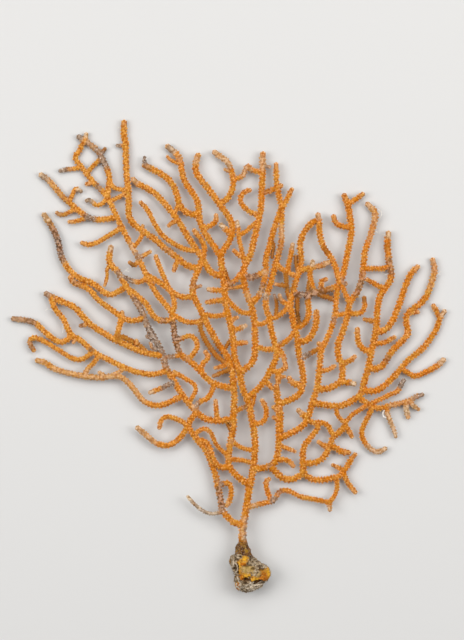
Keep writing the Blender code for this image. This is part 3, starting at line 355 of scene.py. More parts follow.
# Painted highlight: the sponge turns bright yellow in mottled patches.
sponge_highlight_tone = product(tree, marked(tree, "sponge_highlight"), speckle(tree, place, 800.0, 0.30, 0.62))
sponge_colour = painted(tree, sponge_highlight_tone, sponge_colour, SPONGE_HIGHLIGHT_YELLOW)
sponge_colour = speckled(
    tree, place, sponge_colour, (1500.0, 0.57, 0.68, SPONGE_CREAM), (1300.0, 0.55, 0.66, SPONGE_BROWN),
)
colour = painted(tree, marked(tree, "sponge"), colour, sponge_colour)
# Painted shade: the hollows are painted near black.
hollow_shade_colour = speckled(tree, place, HOLLOW_SHADE_BLACK, (1100.0, 0.40, 0.62, HOLLOW_SHADE_BROWN))
colour = painted(tree, marked(tree, "hollow"), colour, hollow_shade_colour)
tree.links.new(colour, shader.inputs["Base Color"])
roughened(tree, place, shader, (2400.0, 0.5, 0.00025), (6000.0, 0.4, 0.0001))
stone_marks = {
    "film": film, "sponge": sponge, "ember": ember, "sponge_highlight": sponge_highlight, "hollow": hollow, "crevice_shade": crevice_shade,
    "ridge_highlight": ridge_highlight,
}
make_piece("reef_stone", (stone_places, stone_faces), stone_marks, surface, "stone", "base_stone")

# The lime grains: crumbs of shell and sand that are stuck all over the bare crust of the stone,
# grey, brown and white. Each is one small chip with flat faces.
GRAIN_SEED = 11
GRAIN_COUNT = 950
SMALLEST_GRAIN = 0.00012
GRAIN_GROWTH = 0.00022
GRAIN_STRETCH = (0.6, 1.3)
GRAIN_EDGES = (0.8, 1.2)
GRAIN_SUNK = 0.25
GRAIN_BROWN = (0.06, 0.032, 0.014, 1.0)
GRAIN_GREY = (0.22, 0.15, 0.09, 1.0)
GRAIN_WHITE = (0.54, 0.45, 0.32, 1.0)
GREY_SHARE = 0.55


def gathered(skins):
    """One skin out of many: all their places, and their faces numbered on."""
    places = []
    faces = []
    count = 0
    for skin, skin_faces in skins:
        places.append(skin)
        faces.extend([[index + count for index in face] for face in skin_faces])
        count += len(skin)
    return np.vstack(places), faces


chance = np.random.default_rng(GRAIN_SEED)
bare = crust * (1.0 - hollow) * resting
chosen = chance.choice(len(stone_places), GRAIN_COUNT, replace=False, p=bare / bare.sum())
chip, chip_faces = ball_skin(1)
grains = []
grain_tones = []
for index in chosen:
    size = SMALLEST_GRAIN + GRAIN_GROWTH * chance.random() ** 2
    shape = chip * (size * chance.uniform(*GRAIN_STRETCH, 3)) * chance.uniform(*GRAIN_EDGES, (len(chip), 1))
    spin = chance.uniform(0.0, math.tau)
    turned = np.column_stack((
        shape[:, 0] * math.cos(spin) - shape[:, 1] * math.sin(spin),
        shape[:, 0] * math.sin(spin) + shape[:, 1] * math.cos(spin), shape[:, 2],
    ))
    grains.append((turned + stone_places[index] + outward[index] * size * GRAIN_SUNK, chip_faces))
    grain_tones.extend([chance.random()] * len(chip))
grain_places, grain_faces = gathered(grains)
grain_places[:, 2] = np.maximum(grain_places[:, 2], 0.0)
surface, tree, shader, place = new_surface("lime_grains", roughness=0.75, specular=0.2)
tones = tree.nodes.new("ShaderNodeValToRGB")
tones.color_ramp.elements[0].color = GRAIN_BROWN
tones.color_ramp.elements[1].color = GRAIN_WHITE
tones.color_ramp.elements.new(GREY_SHARE).color = GRAIN_GREY
tree.links.new(marked(tree, "tone"), tones.inputs["Fac"])
tree.links.new(tones.outputs["Color"], shader.inputs["Base Color"])
grain_marks = {"tone": np.array(grain_tones)}
grain_piece = make_piece("lime_grains", (grain_places, grain_faces), grain_marks, surface, "stone")
grain_piece.data.shade_flat()

# The worm tubes: a tangle of thin chalky tubes that worms built over the stone's lower edge, each
# curling on the surface and growing wider towards its mouth. A start is a place in the photograph
# and the way that the tube sets out, in degrees.
TUBE_STARTS = (
    (241, 581, 20), (242, 584, -40), (249, 582, 200), (252, 586, 40), (256, 585, -20), (247, 588, 10),
    (260, 584, 200), (240, 587, 30), (264, 581, -130), (254, 588, 170), (233, 558, 250), (235, 570, 280),
    (240, 580, -80), (250, 585, -110), (258, 587, 150), (246, 582, 0), (267, 577, -120), (232, 563, 80),
    (251, 589, 90), (237, 574, 270),
)
TUBE_STEP = 0.00022
TUBE_STEPS = (22, 46)
SHORTEST_TUBE = 6
TUBE_CEILING = ground_point(238.5, 579.5)
TUBE_LIFT = 0.00012
TUBE_SIDES = 10
TUBE_ROOT = 0.00022
TUBE_FLARE = 0.00018
RIPPLE = 0.12
RIPPLE_TURN = 1.9
FIRST_BEND = 0.25
BEND_KEPT = 0.82
NEW_BEND = 0.11
CHALK_BROWN = (0.20, 0.135, 0.08)
CHALK_WHITE = (0.60, 0.50, 0.37)
ABOVE_STONE = 0.05

stone_tree = bvhtree.BVHTree.FromPolygons([tuple(p) for p in stone_places], stone_faces)


def stone_top(x, y):
    """Height of the stone's upper surface over a place on the ground, or None beside it."""
    hit = stone_tree.ray_cast(Vector((x, y, ABOVE_STONE)), Vector((0.0, 0.0, -1.0)))
    return hit[0].z if hit[0] else None


def tube_skin(line, radii):
    """Skin of a tube around a line, with a radius for each side of each ring, and its three ways."""
    sides = radii.shape[1]
    forward = np.gradient(line, axis=0)
    forward /= length_of(forward)
    side = np.cross(forward, (0.0, 0.0, 1.0))
    side /= length_of(side)
    above = np.cross(side, forward)
    turn = np.arange(sides) * math.tau / sides
    ring = side[:, None] * np.sin(turn)[None, :, None] + above[:, None] * np.cos(turn)[None, :, None]
    places = (line[:, None] + ring * radii[:, :, None]).reshape(-1, 3)
    first = np.arange(sides)
    after = (first + 1) % sides
    rows = np.arange(len(line) - 1)[:, None] * sides
    quads = np.stack((rows + first, rows + after, rows + after + sides, rows + first + sides), axis=2)
    last = (len(line) - 1) * sides
    faces = quads.reshape(-1, 4).tolist()
    faces += np.column_stack((after, first, np.full(sides, len(places)))).tolist()
    faces += np.column_stack((first + last, after + last, np.full(sides, len(places) + 1))).tolist()
    return (np.vstack((places, line[0], line[-1])), faces), forward, side, above


def smoothed(values, reach):
    """Every value as the mean of those within reach of it."""
    window = 2 * reach + 1
    return np.convolve(np.pad(values, reach, mode="edge"), np.ones(window) / float(window), mode="valid")


tubes = []
for start_x, start_y, heading in TUBE_STARTS:
    spot = ground_point(start_x, start_y)
    heading = math.radians(heading)
    bend = chance.uniform(-FIRST_BEND, FIRST_BEND)
    line = []
    for step in range(int(chance.integers(*TUBE_STEPS))):
        top = stone_top(spot.x, spot.y)
        if top is None or (spot.y > TUBE_CEILING.y and spot.x > TUBE_CEILING.x):
            break
        line.append((spot.x, spot.y, top + TUBE_LIFT))
        bend = BEND_KEPT * bend + chance.uniform(-NEW_BEND, NEW_BEND)
        heading += bend
        spot = spot + Vector((math.cos(heading), math.sin(heading))) * TUBE_STEP
    if len(line) > SHORTEST_TUBE:
        line = np.array(line)
        line[:, 2] = smoothed(line[:, 2], 2)
        share = np.linspace(0.0, 1.0, len(line))
        ripple = 1.0 + RIPPLE * np.sin(np.arange(len(line)) * RIPPLE_TURN)
        radius = (TUBE_ROOT + TUBE_FLARE * share) * ripple
        skin, *_ = tube_skin(line, np.repeat(radius[:, None], TUBE_SIDES, axis=1))
        tubes.append(skin)
surface, tree, shader, place = new_surface("worm_tubes", roughness=0.7, specular=0.2)
chalk = speckled(tree, place, CHALK_BROWN, (1500.0, 0.36, 0.58, CHALK_WHITE))
tree.links.new(chalk, shader.inputs["Base Color"])
roughened(tree, place, shader, (4500.0, 0.4, 0.0001))
make_piece("worm_tubes", gathered(tubes), {}, surface, "stone")

# The holdfast: the brown horny collar by which the stem is stuck to the stone. It narrows
# upwards into the stem and spreads in short rough toes over the crust.
HOLDFAST_LINE = ((243, 563), (243, 557), (242.3, 551.5), (241.7, 547), (241.9, 543), (242.1, 537))
HOLDFAST_RADII = (0.0026, 0.0037, 0.0036, 0.0029, 0.0020, 0.0014)
HOLDFAST_HEIGHT = 0.0060
HOLDFAST_RINGS = 72
HOLDFAST_SIDES = 56
TOE_COUNT = 5.0
TOE_SPREAD = 0.10
TOE_TURN = 0.8
TOE_SHARE = 0.75
HORN_RELIEF = ((0.00075, 430.0, 6.0), (0.00038, 1100.0, 0.0), (0.00014, 2800.0, 0.0))
RIND_COVER = 0.7
RIND_START = ground_point(243, 545).y
RIND_END = ground_point(243, 536).y
HORN_BLACK = (0.055, 0.020, 0.006)
HORN_BROWN = (0.19, 0.078, 0.016)
HORN_OLIVE = (0.25, 0.15, 0.025)
HORN_OCHRE = (0.30, 0.155, 0.012)
HORN_GREY = (0.36, 0.27, 0.21)
RIND_OVER_HORN = (0.42, 0.16, 0.014)
knots = np.array([[*ground_point(*point), HOLDFAST_HEIGHT] for point in HOLDFAST_LINE])
share = np.linspace(0.0, 1.0, HOLDFAST_RINGS)
knot_share = np.linspace(0.0, 1.0, len(knots))
line = np.column_stack([np.interp(share, knot_share, knots[:, axis]) for axis in range(3)])
radius = smoothed(np.interp(share, knot_share, HOLDFAST_RADII), 4)
turn = np.arange(HOLDFAST_SIDES) * math.tau / HOLDFAST_SIDES
toes = TOE_SPREAD * np.sin(turn * TOE_COUNT + TOE_TURN) * soft_step(TOE_SHARE - share, 0.0, 0.5)[:, None]
(places, faces), *_ = tube_skin(line, radius[:, None] * (1.0 + toes))
middle = np.array([line[np.argmin(np.abs(line[:, 1] - place[1]))] for place in places])
away = places - middle
away /= np.maximum(length_of(away), 1e-6)
fade = soft_step(places[:, 1], RIND_START, RIND_END)
places += away * (clouds(places, HORN_RELIEF) * (1.0 - RIND_COVER * fade))[:, None]
surface, tree, shader, place = new_surface("holdfast", roughness=0.8, specular=0.15)
horn = speckled(
    tree, place, HORN_BLACK, (700.0, 0.40, 0.60, HORN_BROWN), (1500.0, 0.55, 0.66, HORN_OLIVE),
    (520.0, 0.56, 0.64, HORN_OCHRE), (2100.0, 0.58, 0.66, HORN_GREY),
)
rind_tone = product(tree, marked(tree, "rind"), speckle(tree, place, 600.0, 0.30, 0.60))
tree.links.new(painted(tree, rind_tone, horn, RIND_OVER_HORN), shader.inputs["Base Color"])
roughened(tree, place, shader, (2600.0, 0.6, 0.0002), (7000.0, 0.4, 0.00008))
make_piece("holdfast_collar", (places, faces), {"rind": fade}, surface, "holdfast", "holdfast")

# The stem and every limb are one kind of growth: a round horny core under a soft orange rind.
# The rind stands up in warts, a row on each flank and lower ones between, and each held a polyp.
# Every shoot below is drawn by its points in the photograph, from its root to its tip.
TRUNK = 0.00168
LIMB = 0.00144
BRANCH = 0.00131
TWIG = 0.00114
SPRIG = 0.00100
STRAND = 0.00082
THICKEST_STRAND = 0.0009
UNDER = -0.0011
OVER = 0.0012
RESTING_HEIGHT = 0.00146
DOME_HEIGHT = 0.0036
DOME_MIDDLE = (-0.0003, 0.0113)
DOME_REACH = 0.0965
FOOT_HEIGHT = 0.0046
FOOT_START = 0.0517
FOOT_END = 0.0837
RING_STEP = 0.00052
SHOOT_SIDES = 14
CORE_SHARE = 0.87
WOBBLE = ((0.07, 260.0, 1.0), (0.04, 700.0, 2.0))
RIND_LUMPS = ((0.09, 520.0, 3.0), (0.07, 1300.0, 8.0))
FLARE = 0.22
FLARE_REACH = 0.0023
TIP_SWELL = 0.07
TIP_SWELL_START = 0.0028
TIP_SWELL_END = 0.0008
TIP_REACH = 0.00025
TIP_BENDS = (22.0, 44.0, 64.0, 80.0)
WART_PITCH = 0.00152
WART_JITTER = 0.24
FIRST_WART = 0.0011
BARE_JOINT = 0.0008
WART_WIDTH = 0.00042
STRONG_WART_WIDTH = 0.00008
WIDTH_SPREAD = (0.75, 1.25)
WART_HEIGHT = 0.00068
HEIGHT_SPREAD = (0.75, 1.15)
WART_SHRINK = 0.7
WART_SUNK = 0.93
WART_TURN = 15.0
WART_LEAN = (0.15, 0.55)
# Painted highlight on the wart tops: its least strength and its spread from wart to wart.
LEAST_HIGHLIGHT = 0.25
HIGHLIGHT_SPREAD = (0.7, 1.0)
# A row of warts: its place round the shoot in degrees, its strength, which sets its height and how strongly
# its tops are painted as highlights, and where it starts.
WART_ROWS = (
    (86, 1.0, 0.0), (-86, 1.0, 0.5), (45, 0.58, 0.5), (-45, 0.58, 0.0), (0, 0.48, 0.25), (136, 0.6, 0.3),
    (-136, 0.6, 0.8),
)
STRAND_ROWS = ((85, 0.9, 0.0), (-85, 0.9, 0.5), (0, 0.6, 0.25), (180, 0.6, 0.75))
# A ring of points on a wart: how wide it is, how high it lies, and how strongly it is painted, from painted
# shade at the foot to a painted highlight at the top.
WART_PROFILE = ((1.0, -0.30, 0.0), (0.86, 0.42, 0.45), (0.48, 0.90, 0.95))
WART_SIDES = 6
TIP_WART_TILTS = (58.0, 58.0, 58.0, 58.0, 58.0, 5.0)
TIP_WART_SPACING = 72.0
TIP_WART_WIDTH = 0.00046
TIP_WART_HEIGHT = 0.00034
TIP_WART_HIGHLIGHT = 0.9
TIP_WART_SUNK = 0.9
LOW_RELIEF = 0.80
RELIEF_START = -0.045
RELIEF_END = 0.015
BLEACH = 0.55
BLEACH_SPREAD = 0.45
BLEACH_SCALE = 90.0
BLEACHED_START = 0.0034
BLEACHED_END = 0.0010
SHADED_STRAND = 0.45
STAIN_FADE = 0.6
STAIN_END = 1.25
PALE_SIDE = -0.06
# Painted shade on the rind between the warts, strongest at their feet.
CREASE_SHADE_WIDTH = 0.35
CREASE_SHADE_STRENGTH = 0.44
GOLD = (0.81, 0.325, 0.036)
LIGHT_GOLD = (0.75, 0.365, 0.058)
DEEP_ORANGE = (0.69, 0.188, 0.002)
LIGHT_ORANGE = (0.63, 0.221, 0.006)
RIND_STRAW = (0.66, 0.30, 0.035)
RIND_APRICOT = (0.74, 0.31, 0.05)
RIND_CREAM = (0.76, 0.36, 0.10)
RIND_RUST = (0.40, 0.100, 0.003)
RIND_OLIVE = (0.58, 0.33, 0.045)
TIP_CREAM = (0.78, 0.49, 0.26)
# Painted shade between the warts.
CREASE_SHADE_BROWN = (0.30, 0.078, 0.004)
# Cream of the wart tops: partly their own paler colour, partly a painted highlight.
WART_HIGHLIGHT_CREAM = (0.98, 0.66, 0.33)
BLEACHED_BROWN = (0.32, 0.19, 0.085)
BLEACHED_CREAM = (0.68, 0.52, 0.35)
MAUVE_BLACK = (0.075, 0.036, 0.020)
MAUVE_PINK = (0.42, 0.26, 0.18)
# Dead brown stains, and painted shade on strands that pass underneath others.
DEAD_BROWN_AND_SHADE = (0.10, 0.034, 0.006)
RUSTY_BROWN_AND_SHADE = (0.30, 0.11, 0.016)
DARK_GREY = (0.14, 0.088, 0.058)
LIGHT_GREY = (0.35, 0.245, 0.175)
GREY_CHALK = (0.70, 0.62, 0.55)


def shoot(radius, *points, joined=False, lift=0.0, tip=None):
    """One shoot: how thick it is, its points from root to tip, and how its far end finishes."""
    return {"radius": radius, "points": points, "joined": joined, "lift": lift, "tip": tip or radius}


def bridge(radius, *points, **finish):
    """A shoot whose far end has grown into another one."""
    return shoot(radius, *points, joined=True, **finish)


def sheet_height(x, y):
    """Height of a shoot's middle: a low dome, raised where the stem meets the stone."""
    reach = np.hypot(x - DOME_MIDDLE[0], y - DOME_MIDDLE[1]) / DOME_REACH
    foot = soft_step(-y, FOOT_START, FOOT_END)
    return RESTING_HEIGHT + DOME_HEIGHT * np.maximum(0.0, 1.0 - reach * reach) + FOOT_HEIGHT * foot


def smooth_route(points):
    """Close points on a smooth curve through a shoot's points, on the ground."""
    knots = [ground_point(px, py) for px, py in points]
    ways = [
        (knots[min(i + 1, len(knots) - 1)] - knots[max(i - 1, 0)]).normalized() for i in range(len(knots))
    ]
    route = [knots[0]]
    for i in range(len(knots) - 1):
        length = (knots[i + 1] - knots[i]).length
        handle_out = knots[i] + ways[i] * (length / 3.0)
        handle_in = knots[i + 1] - ways[i + 1] * (length / 3.0)
        count = max(2, math.ceil(length / RING_STEP) + 1)
        route.extend(geometry.interpolate_bezier(knots[i], handle_out, handle_in, knots[i + 1], count)[1:])
    return np.array([point[:] for point in route])


def stained(px, py, spots):
    """How strongly the round stains of one kind colour each point."""
    strength = np.zeros(len(px))
    for x, y, reach, full in spots:
        away = np.hypot(px - x, py - y)
        strength = np.maximum(strength, full * soft_step(-away, -STAIN_END * reach, -STAIN_FADE * reach))
    return strength


def core_of(item):
    """A shoot's middle line with its rounded end, its radii, and the way along it to each point."""
    route = smooth_route(item["points"])
    steps = np.linalg.norm(np.diff(route, axis=0), axis=1)
    along = np.concatenate(((0.0,), np.cumsum(steps)))
    total = along[-1]
    share = along / total
    lift = item["lift"] * (np.sin(math.pi * share) if item["joined"] else np.minimum(1.0, 2.0 * share))
    line = np.column_stack((route, sheet_height(route[:, 0], route[:, 1]) + lift))
    wobble = clouds(line, WOBBLE)
    flare = FLARE * np.exp(-((along / FLARE_REACH) ** 2))
    if item["joined"]:
        flare += FLARE * np.exp(-(((total - along) / FLARE_REACH) ** 2))
    else:
        flare += TIP_SWELL * soft_step(along, total - TIP_SWELL_START, total - TIP_SWELL_END)
    full = item["radius"] + (item["tip"] - item["radius"]) * share
    core = full * CORE_SHARE * (1.0 + wobble + flare)
    if not item["joined"]:
        ahead = line[-1] - line[-2]
        ahead /= np.linalg.norm(ahead)
        bends = np.radians(TIP_BENDS)
        line[-1] += ahead * TIP_REACH
        line = np.vstack((line, line[-1] + ahead * core[-1] * np.sin(bends)[:, None]))
        core = np.concatenate((core, core[-1] * np.cos(bends)))
    return line, core, along


def row_of_warts(item, row, line, core, along, ways, scale):
    """Feet, axes, ways, widths, heights and highlight strengths of one row of warts, or None on a short
    shoot.
    """
    degrees, strength, phase = row
    pitch = WART_PITCH * scale
    count = max(0, int((along[-1] - FIRST_WART) / pitch))
    at = FIRST_WART + (np.arange(count) + phase + chance.uniform(-WART_JITTER, WART_JITTER, count)) * pitch
    at = at[at < along[-1] - (BARE_JOINT if item["joined"] else 0.0)]
    if not at.size:
        return None
    turn = np.radians(degrees + chance.uniform(-WART_TURN, WART_TURN, at.size))
    spots, forward, side, above = (
        np.column_stack([np.interp(at, along, field[:along.size, axis]) for axis in range(3)])
        for field in (line, *ways)
    )
    out = side * np.sin(turn)[:, None] + above * np.cos(turn)[:, None]
    radius = np.interp(at, along, core[:along.size])
    axes = out + forward * chance.uniform(*WART_LEAN, at.size)[:, None]
    grown = chance.uniform(*WIDTH_SPREAD, at.size)
    relief = LOW_RELIEF + (1.0 - LOW_RELIEF) * soft_step(line[:along.size, 0], RELIEF_START, RELIEF_END)
    heights = WART_HEIGHT * scale * strength * np.interp(at, along, relief)
    heights *= chance.uniform(*HEIGHT_SPREAD, at.size)
    highlight_strengths = (LEAST_HIGHLIGHT + (1.0 - LEAST_HIGHLIGHT) * strength) * chance.uniform(*HIGHLIGHT_SPREAD, at.size)
    widths = (WART_WIDTH + STRONG_WART_WIDTH * strength) * scale * grown
    feet = spots + out * (radius * WART_SUNK)[:, None]
    return feet, axes / length_of(axes), forward, widths, heights, highlight_strengths


def tip_warts(middle, radius, forward, side, above, scale):
    """Feet, axes, ways, widths, heights and highlight strengths of the ring of warts round a tip and the one
    on it.
    """
    count = len(TIP_WART_TILTS)
    turn = np.radians(np.arange(count) * TIP_WART_SPACING + chance.uniform(0.0, TIP_WART_SPACING))
    tilt = np.radians(TIP_WART_TILTS)
    out = (
        forward * np.cos(tilt)[:, None] + side * (np.sin(tilt) * np.sin(turn))[:, None]
        + above * (np.sin(tilt) * np.cos(turn))[:, None]
    )
    return (
        middle + out * radius * TIP_WART_SUNK, out, np.repeat(above[None], count, axis=0),
        np.full(count, TIP_WART_WIDTH * scale), np.full(count, TIP_WART_HEIGHT * scale),
        np.full(count, TIP_WART_HIGHLIGHT),
    )


def wart_skin(feet, axes, ways, widths, heights, highlight_strengths):
    """Skin of a set of warts, low domes, and their mark: painted shade at each foot rising to a painted
    highlight on each top, as strong as the wart's highlight strength.
    """
    lean = ways - axes * np.sum(ways * axes, axis=1)[:, None]
    lean /= np.maximum(length_of(lean), 1e-9)
    across = np.cross(axes, lean)
    turn = np.arange(WART_SIDES) * math.tau / WART_SIDES
    ring = lean[:, None] * np.cos(turn)[None, :, None] + across[:, None] * np.sin(turn)[None, :, None]
    levels = [
        feet[:, None] + ring * (widths * reach)[:, None, None] + (axes * (heights * rise)[:, None])[:, None]
        for reach, rise, _ in WART_PROFILE
    ]
    top = feet + axes * heights[:, None]
    places = np.concatenate([*levels, top[:, None]], axis=1)
    count = places.shape[1]
    first = np.arange(WART_SIDES)
    after = (first + 1) % WART_SIDES
    low = np.arange(len(WART_PROFILE) - 1)[:, None] * WART_SIDES
    quads = np.stack((low + first, low + after, low + after + WART_SIDES, low + first + WART_SIDES), axis=2)
    crown = (len(WART_PROFILE) - 1) * WART_SIDES
    caps = np.column_stack((crown + first, crown + after, np.full(WART_SIDES, count - 1)))
    starts = np.arange(len(feet))[:, None, None] * count
    faces = (quads.reshape(-1, 4)[None] + starts).reshape(-1, 4).tolist()
    faces += (caps[None] + starts).reshape(-1, 3).tolist()
    shade_and_highlight = np.concatenate([np.repeat([wart_shade_and_highlight for _, _, wart_shade_and_highlight in WART_PROFILE], WART_SIDES), (1.0,)])
    return (places.reshape(-1, 3), faces), (highlight_strengths[:, None] * shade_and_highlight).ravel()


def grow_shoot(item):
    """Skin of one shoot with its warts, and its marks: painted shade and highlight on the rind and warts, the
    pale tip, and painted shade on a strand that passes underneath.
    """
    line, core, along = core_of(item)
    (places, faces), *ways = tube_skin(line, np.repeat(core[:, None], SHOOT_SIDES, axis=1))
    centres = np.vstack((np.repeat(line, SHOOT_SIDES, axis=0), line[0], line[-1]))
    places = centres + (places - centres) * (1.0 + clouds(places, RIND_LUMPS))[:, None]
    shade_and_highlight = np.zeros(len(places))
    rows = STRAND_ROWS if item["radius"] < THICKEST_STRAND else WART_ROWS
    scale = min(1.0, item["radius"] / LIMB) ** WART_SHRINK
    end = along.size - 1
    sets = [row_of_warts(item, row, line, core, along, ways, scale) for row in rows]
    if not item["joined"]:
        sets.append(tip_warts(line[end], core[end], *[way[end] for way in ways], scale))
    sets = [warts for warts in sets if warts]
    if sets:
        warts, wart_shade_and_highlight = wart_skin(*map(np.concatenate, zip(*sets)))
        places, faces = gathered([(places, faces), warts])
        shade_and_highlight = np.concatenate((shade_and_highlight, wart_shade_and_highlight))
    near_tip = np.zeros(len(places))
    if not item["joined"]:
        bleach = BLEACH + BLEACH_SPREAD * noise.noise(line[end] * BLEACH_SCALE)
        near_tip = soft_step(-length_of(places - line[end])[:, 0], -BLEACHED_START, -BLEACHED_END) * bleach
    # Painted shade: a strand that passes underneath others is darkened through the brown mark.
    shaded = np.full(len(places), SHADED_STRAND if item["lift"] < 0 else 0.0)
    return (places, faces), (shade_and_highlight, near_tip, shaded)


surface, tree, shader, place = new_surface("orange_rind", roughness=0.75, specular=0.07)
orange_rind = surface
axes_of_place = tree.nodes.new("ShaderNodeSeparateXYZ")
tree.links.new(place, axes_of_place.inputs["Vector"])
to_the_right = spread_out(tree, axes_of_place.outputs["X"], PALE_SIDE, 0.0)
golden = speckled(tree, place, GOLD, (55.0, 0.36, 0.64, LIGHT_GOLD))
deep = speckled(tree, place, DEEP_ORANGE, (55.0, 0.36, 0.64, LIGHT_ORANGE))
rind = painted(tree, to_the_right, golden, deep)
rind = speckled(tree, place, rind, (160.0, 0.52, 0.62, RIND_STRAW), (300.0, 0.50, 0.70, RIND_APRICOT))
rind = painted(tree, marked(tree, "tip"), rind, TIP_CREAM)
rind = speckled(
    tree, place, rind, (700.0, 0.55, 0.64, RIND_CREAM), (900.0, 0.49, 0.61, RIND_RUST),
    (1100.0, 0.57, 0.68, RIND_OLIVE),
)
# This mark paints shade low on the warts and on the rind between them, and a highlight on the wart tops.
wart_shade_and_highlight = marked(tree, "wart_shade_and_highlight")
# Painted shade: the rind between the warts and at their feet is darkened towards brown.
crease_shade = spread_out(tree, wart_shade_and_highlight, 0.0, CREASE_SHADE_WIDTH, first=CREASE_SHADE_STRENGTH, last=0.0)
rind = painted(tree, crease_shade, rind, CREASE_SHADE_BROWN)
# The tops of the warts are painted cream: partly their own paler colour, partly a painted highlight.
wart_highlight = product(tree, product(tree, wart_shade_and_highlight, wart_shade_and_highlight), speckle(tree, place, 200.0, 0.20, 0.60))
rind = painted(tree, wart_highlight, rind, WART_HIGHLIGHT_CREAM)
pale = speckled(tree, place, BLEACHED_BROWN, (950.0, 0.44, 0.56, BLEACHED_CREAM))
rind = painted(tree, marked(tree, "pale"), rind, pale)
mauve = speckled(tree, place, MAUVE_BLACK, (850.0, 0.46, 0.55, MAUVE_PINK))
mauve_tone = product(tree, marked(tree, "mauve"), speckle(tree, place, 500.0, 0.18, 0.46))
rind = painted(tree, mauve_tone, rind, mauve)
# The brown mark paints dead brown stains, and painted shade on strands that pass underneath others.
brown = speckled(tree, place, DEAD_BROWN_AND_SHADE, (900.0, 0.40, 0.62, RUSTY_BROWN_AND_SHADE))
rind = painted(tree, marked(tree, "brown"), rind, brown)
grey = speckled(tree, place, DARK_GREY, (850.0, 0.42, 0.58, LIGHT_GREY), (1300.0, 0.60, 0.66, GREY_CHALK))
grey_tone = product(tree, marked(tree, "grey"), speckle(tree, place, 700.0, 0.15, 0.42))
rind = painted(tree, grey_tone, rind, grey)
tree.links.new(rind, shader.inputs["Base Color"])
roughened(tree, place, shader, (1500.0, 0.35, 0.00016), (5200.0, 0.35, 0.00007))


def grow_limb(node, shoots, stains=None):
    """One limb of the fan: its shoots in one piece, with stains by place, reach and strength."""
    skins, marks = zip(*map(grow_shoot, shoots.values()))
    places, faces = gathered(skins)
    places[:, 2] = np.maximum(places[:, 2], 0.0)
    px, py = photo_point(places)
    shade_and_highlight, near_tip, shaded = map(np.concatenate, zip(*marks))
    stains = stains or {}
    pale, brown, mauve, grey = (
        stained(px, py, stains.get(kind, ())) for kind in ("pale", "brown", "mauve", "grey")
    )
    # The brown mark holds the real brown stains and the painted shade of strands underneath.
    limb_marks = {
        "wart_shade_and_highlight": shade_and_highlight, "tip": near_tip, "pale": pale, "brown": np.maximum(shaded, brown), "mauve": mauve,
        "grey": grey,
    }
    make_piece(node + "_rind", (places, faces), limb_marks, orange_rind, "fan_tissue", node)


grow_limb("stem", {
    "trunk": bridge(
        TRUNK, (242, 541), (242.1, 532), (243.3, 522), (245.1, 511), (247, 500), (248.5, 490), (250.8, 479),
        (253, 467), (254.3, 453.5), (254.7, 442), (253.2, 428), (251, 417), (249.3, 407), (246.8, 399),
        (243.2, 391), (240.8, 382), (239.2, 371), tip=LIMB,
    ),
    "right_hook": shoot(
        TWIG, (252.5, 423.5), (260, 422.8), (264.5, 419), (266, 411.5), (264.5, 405), (262, 401),
    ),
}, {
    "grey": ((246.4, 529, 3, 0.7), (245.8, 536, 3, 0.7), (247.6, 520, 3, 0.6), (250, 510, 3, 0.4)),
    "brown": ((241, 541, 3, 0.5),),
    "pale": ((242.5, 531, 5, 0.4), (244.6, 537, 3.6, 0.7), (245.4, 527, 3.4, 0.6), (244, 520, 5, 0.3)),
})

# The lowest limbs on the left: one runs up beside the stem and is tied to it by three rungs,
# the other carries a pale dead twig and ends in two hooks. Both fork from the stem low down.
grow_limb("left_limb", {
    "main": bridge(
        LIMB, (247.5, 483.5), (241.7, 480), (234.8, 474), (229.5, 467.5), (227.8, 459), (229, 449),
        (230.8, 437.4), (233, 428), (233.2, 409), (234, 397), (233, 383),
    ),
    "lower_rung": bridge(SPRIG, (229, 459), (238, 459.5), (246, 461), (253, 463.5)),
    "middle_rung": bridge(SPRIG, (231, 440.5), (236, 444.5), (242.5, 448), (254, 450.5)),
    "upper_rung": bridge(SPRIG, (234, 412), (240, 408.5), (249, 405.5)),
}, {
    "grey": ((231, 441, 3, 0.3),),
    "mauve": ((244, 406, 4, 0.5),),
})
grow_limb("lower_left_limb", {
    "main": bridge(
        LIMB, (242.5, 524), (233.5, 522), (227, 516), (222, 510), (220.5, 501), (219, 493), (217, 484),
        (215.5, 476), (212.6, 467.5), (209.6, 459), (205, 449), (198, 441), (191.5, 432.5), (188.2, 424),
        (191.5, 418), (196, 412), tip=BRANCH,
    ),
    "shelf_strand": bridge(
        BRANCH, (197.8, 440), (204.5, 441.5), (209, 447), (212, 456.5), (216, 464), (221, 467.2),
        (228.5, 467), lift=OVER,
    ),
    "loop_strand": bridge(
        SPRIG, (194, 436), (199, 430), (205, 428.7), (210.5, 432.5), (215, 442.5), (221, 450), (229, 456),
    ),
    "inner_hook": shoot(
        TWIG, (217.5, 485.5), (223, 483.5), (228, 482.8), (230.5, 487), (230.5, 496), (228.5, 502),
        (226.5, 504.5),
    ),
    "pale_twig": shoot(STRAND, (222.5, 511), (212, 513.3), (203, 510.5), (195, 504.5), (188, 497)),
}, {
    "grey": (
        (221, 484, 3, 0.9), (221, 509, 4, 0.7), (217, 480, 3, 0.4), (214, 513, 6, 0.5), (204, 511, 6, 0.6),
        (194, 504, 6, 0.5),
    ),
    "mauve": ((218, 489, 4, 0.8), (220, 497, 5, 0.8), (221, 504, 4, 0.8)),
    "pale": (
        (214, 513, 5, 1.0), (206, 512, 6, 1.0), (198, 507, 6, 1.0), (190, 499, 6, 1.0), (188, 497, 4, 1.0),
    ),
})
grow_limb("left_hooks", {
    "outer": shoot(
        BRANCH, (188, 425), (184.5, 431), (180, 437), (173, 443), (165, 445.3), (156, 443), (147, 436),
        (138, 428.3),
    ),
    "inner": shoot(TWIG, (187.5, 426), (181, 421), (173, 417.8), (166, 416.5), (161, 420), (159.2, 426.5)),
}, {
    "pale": ((140, 430, 8, 0.6), (150, 439, 8, 0.5)),
})

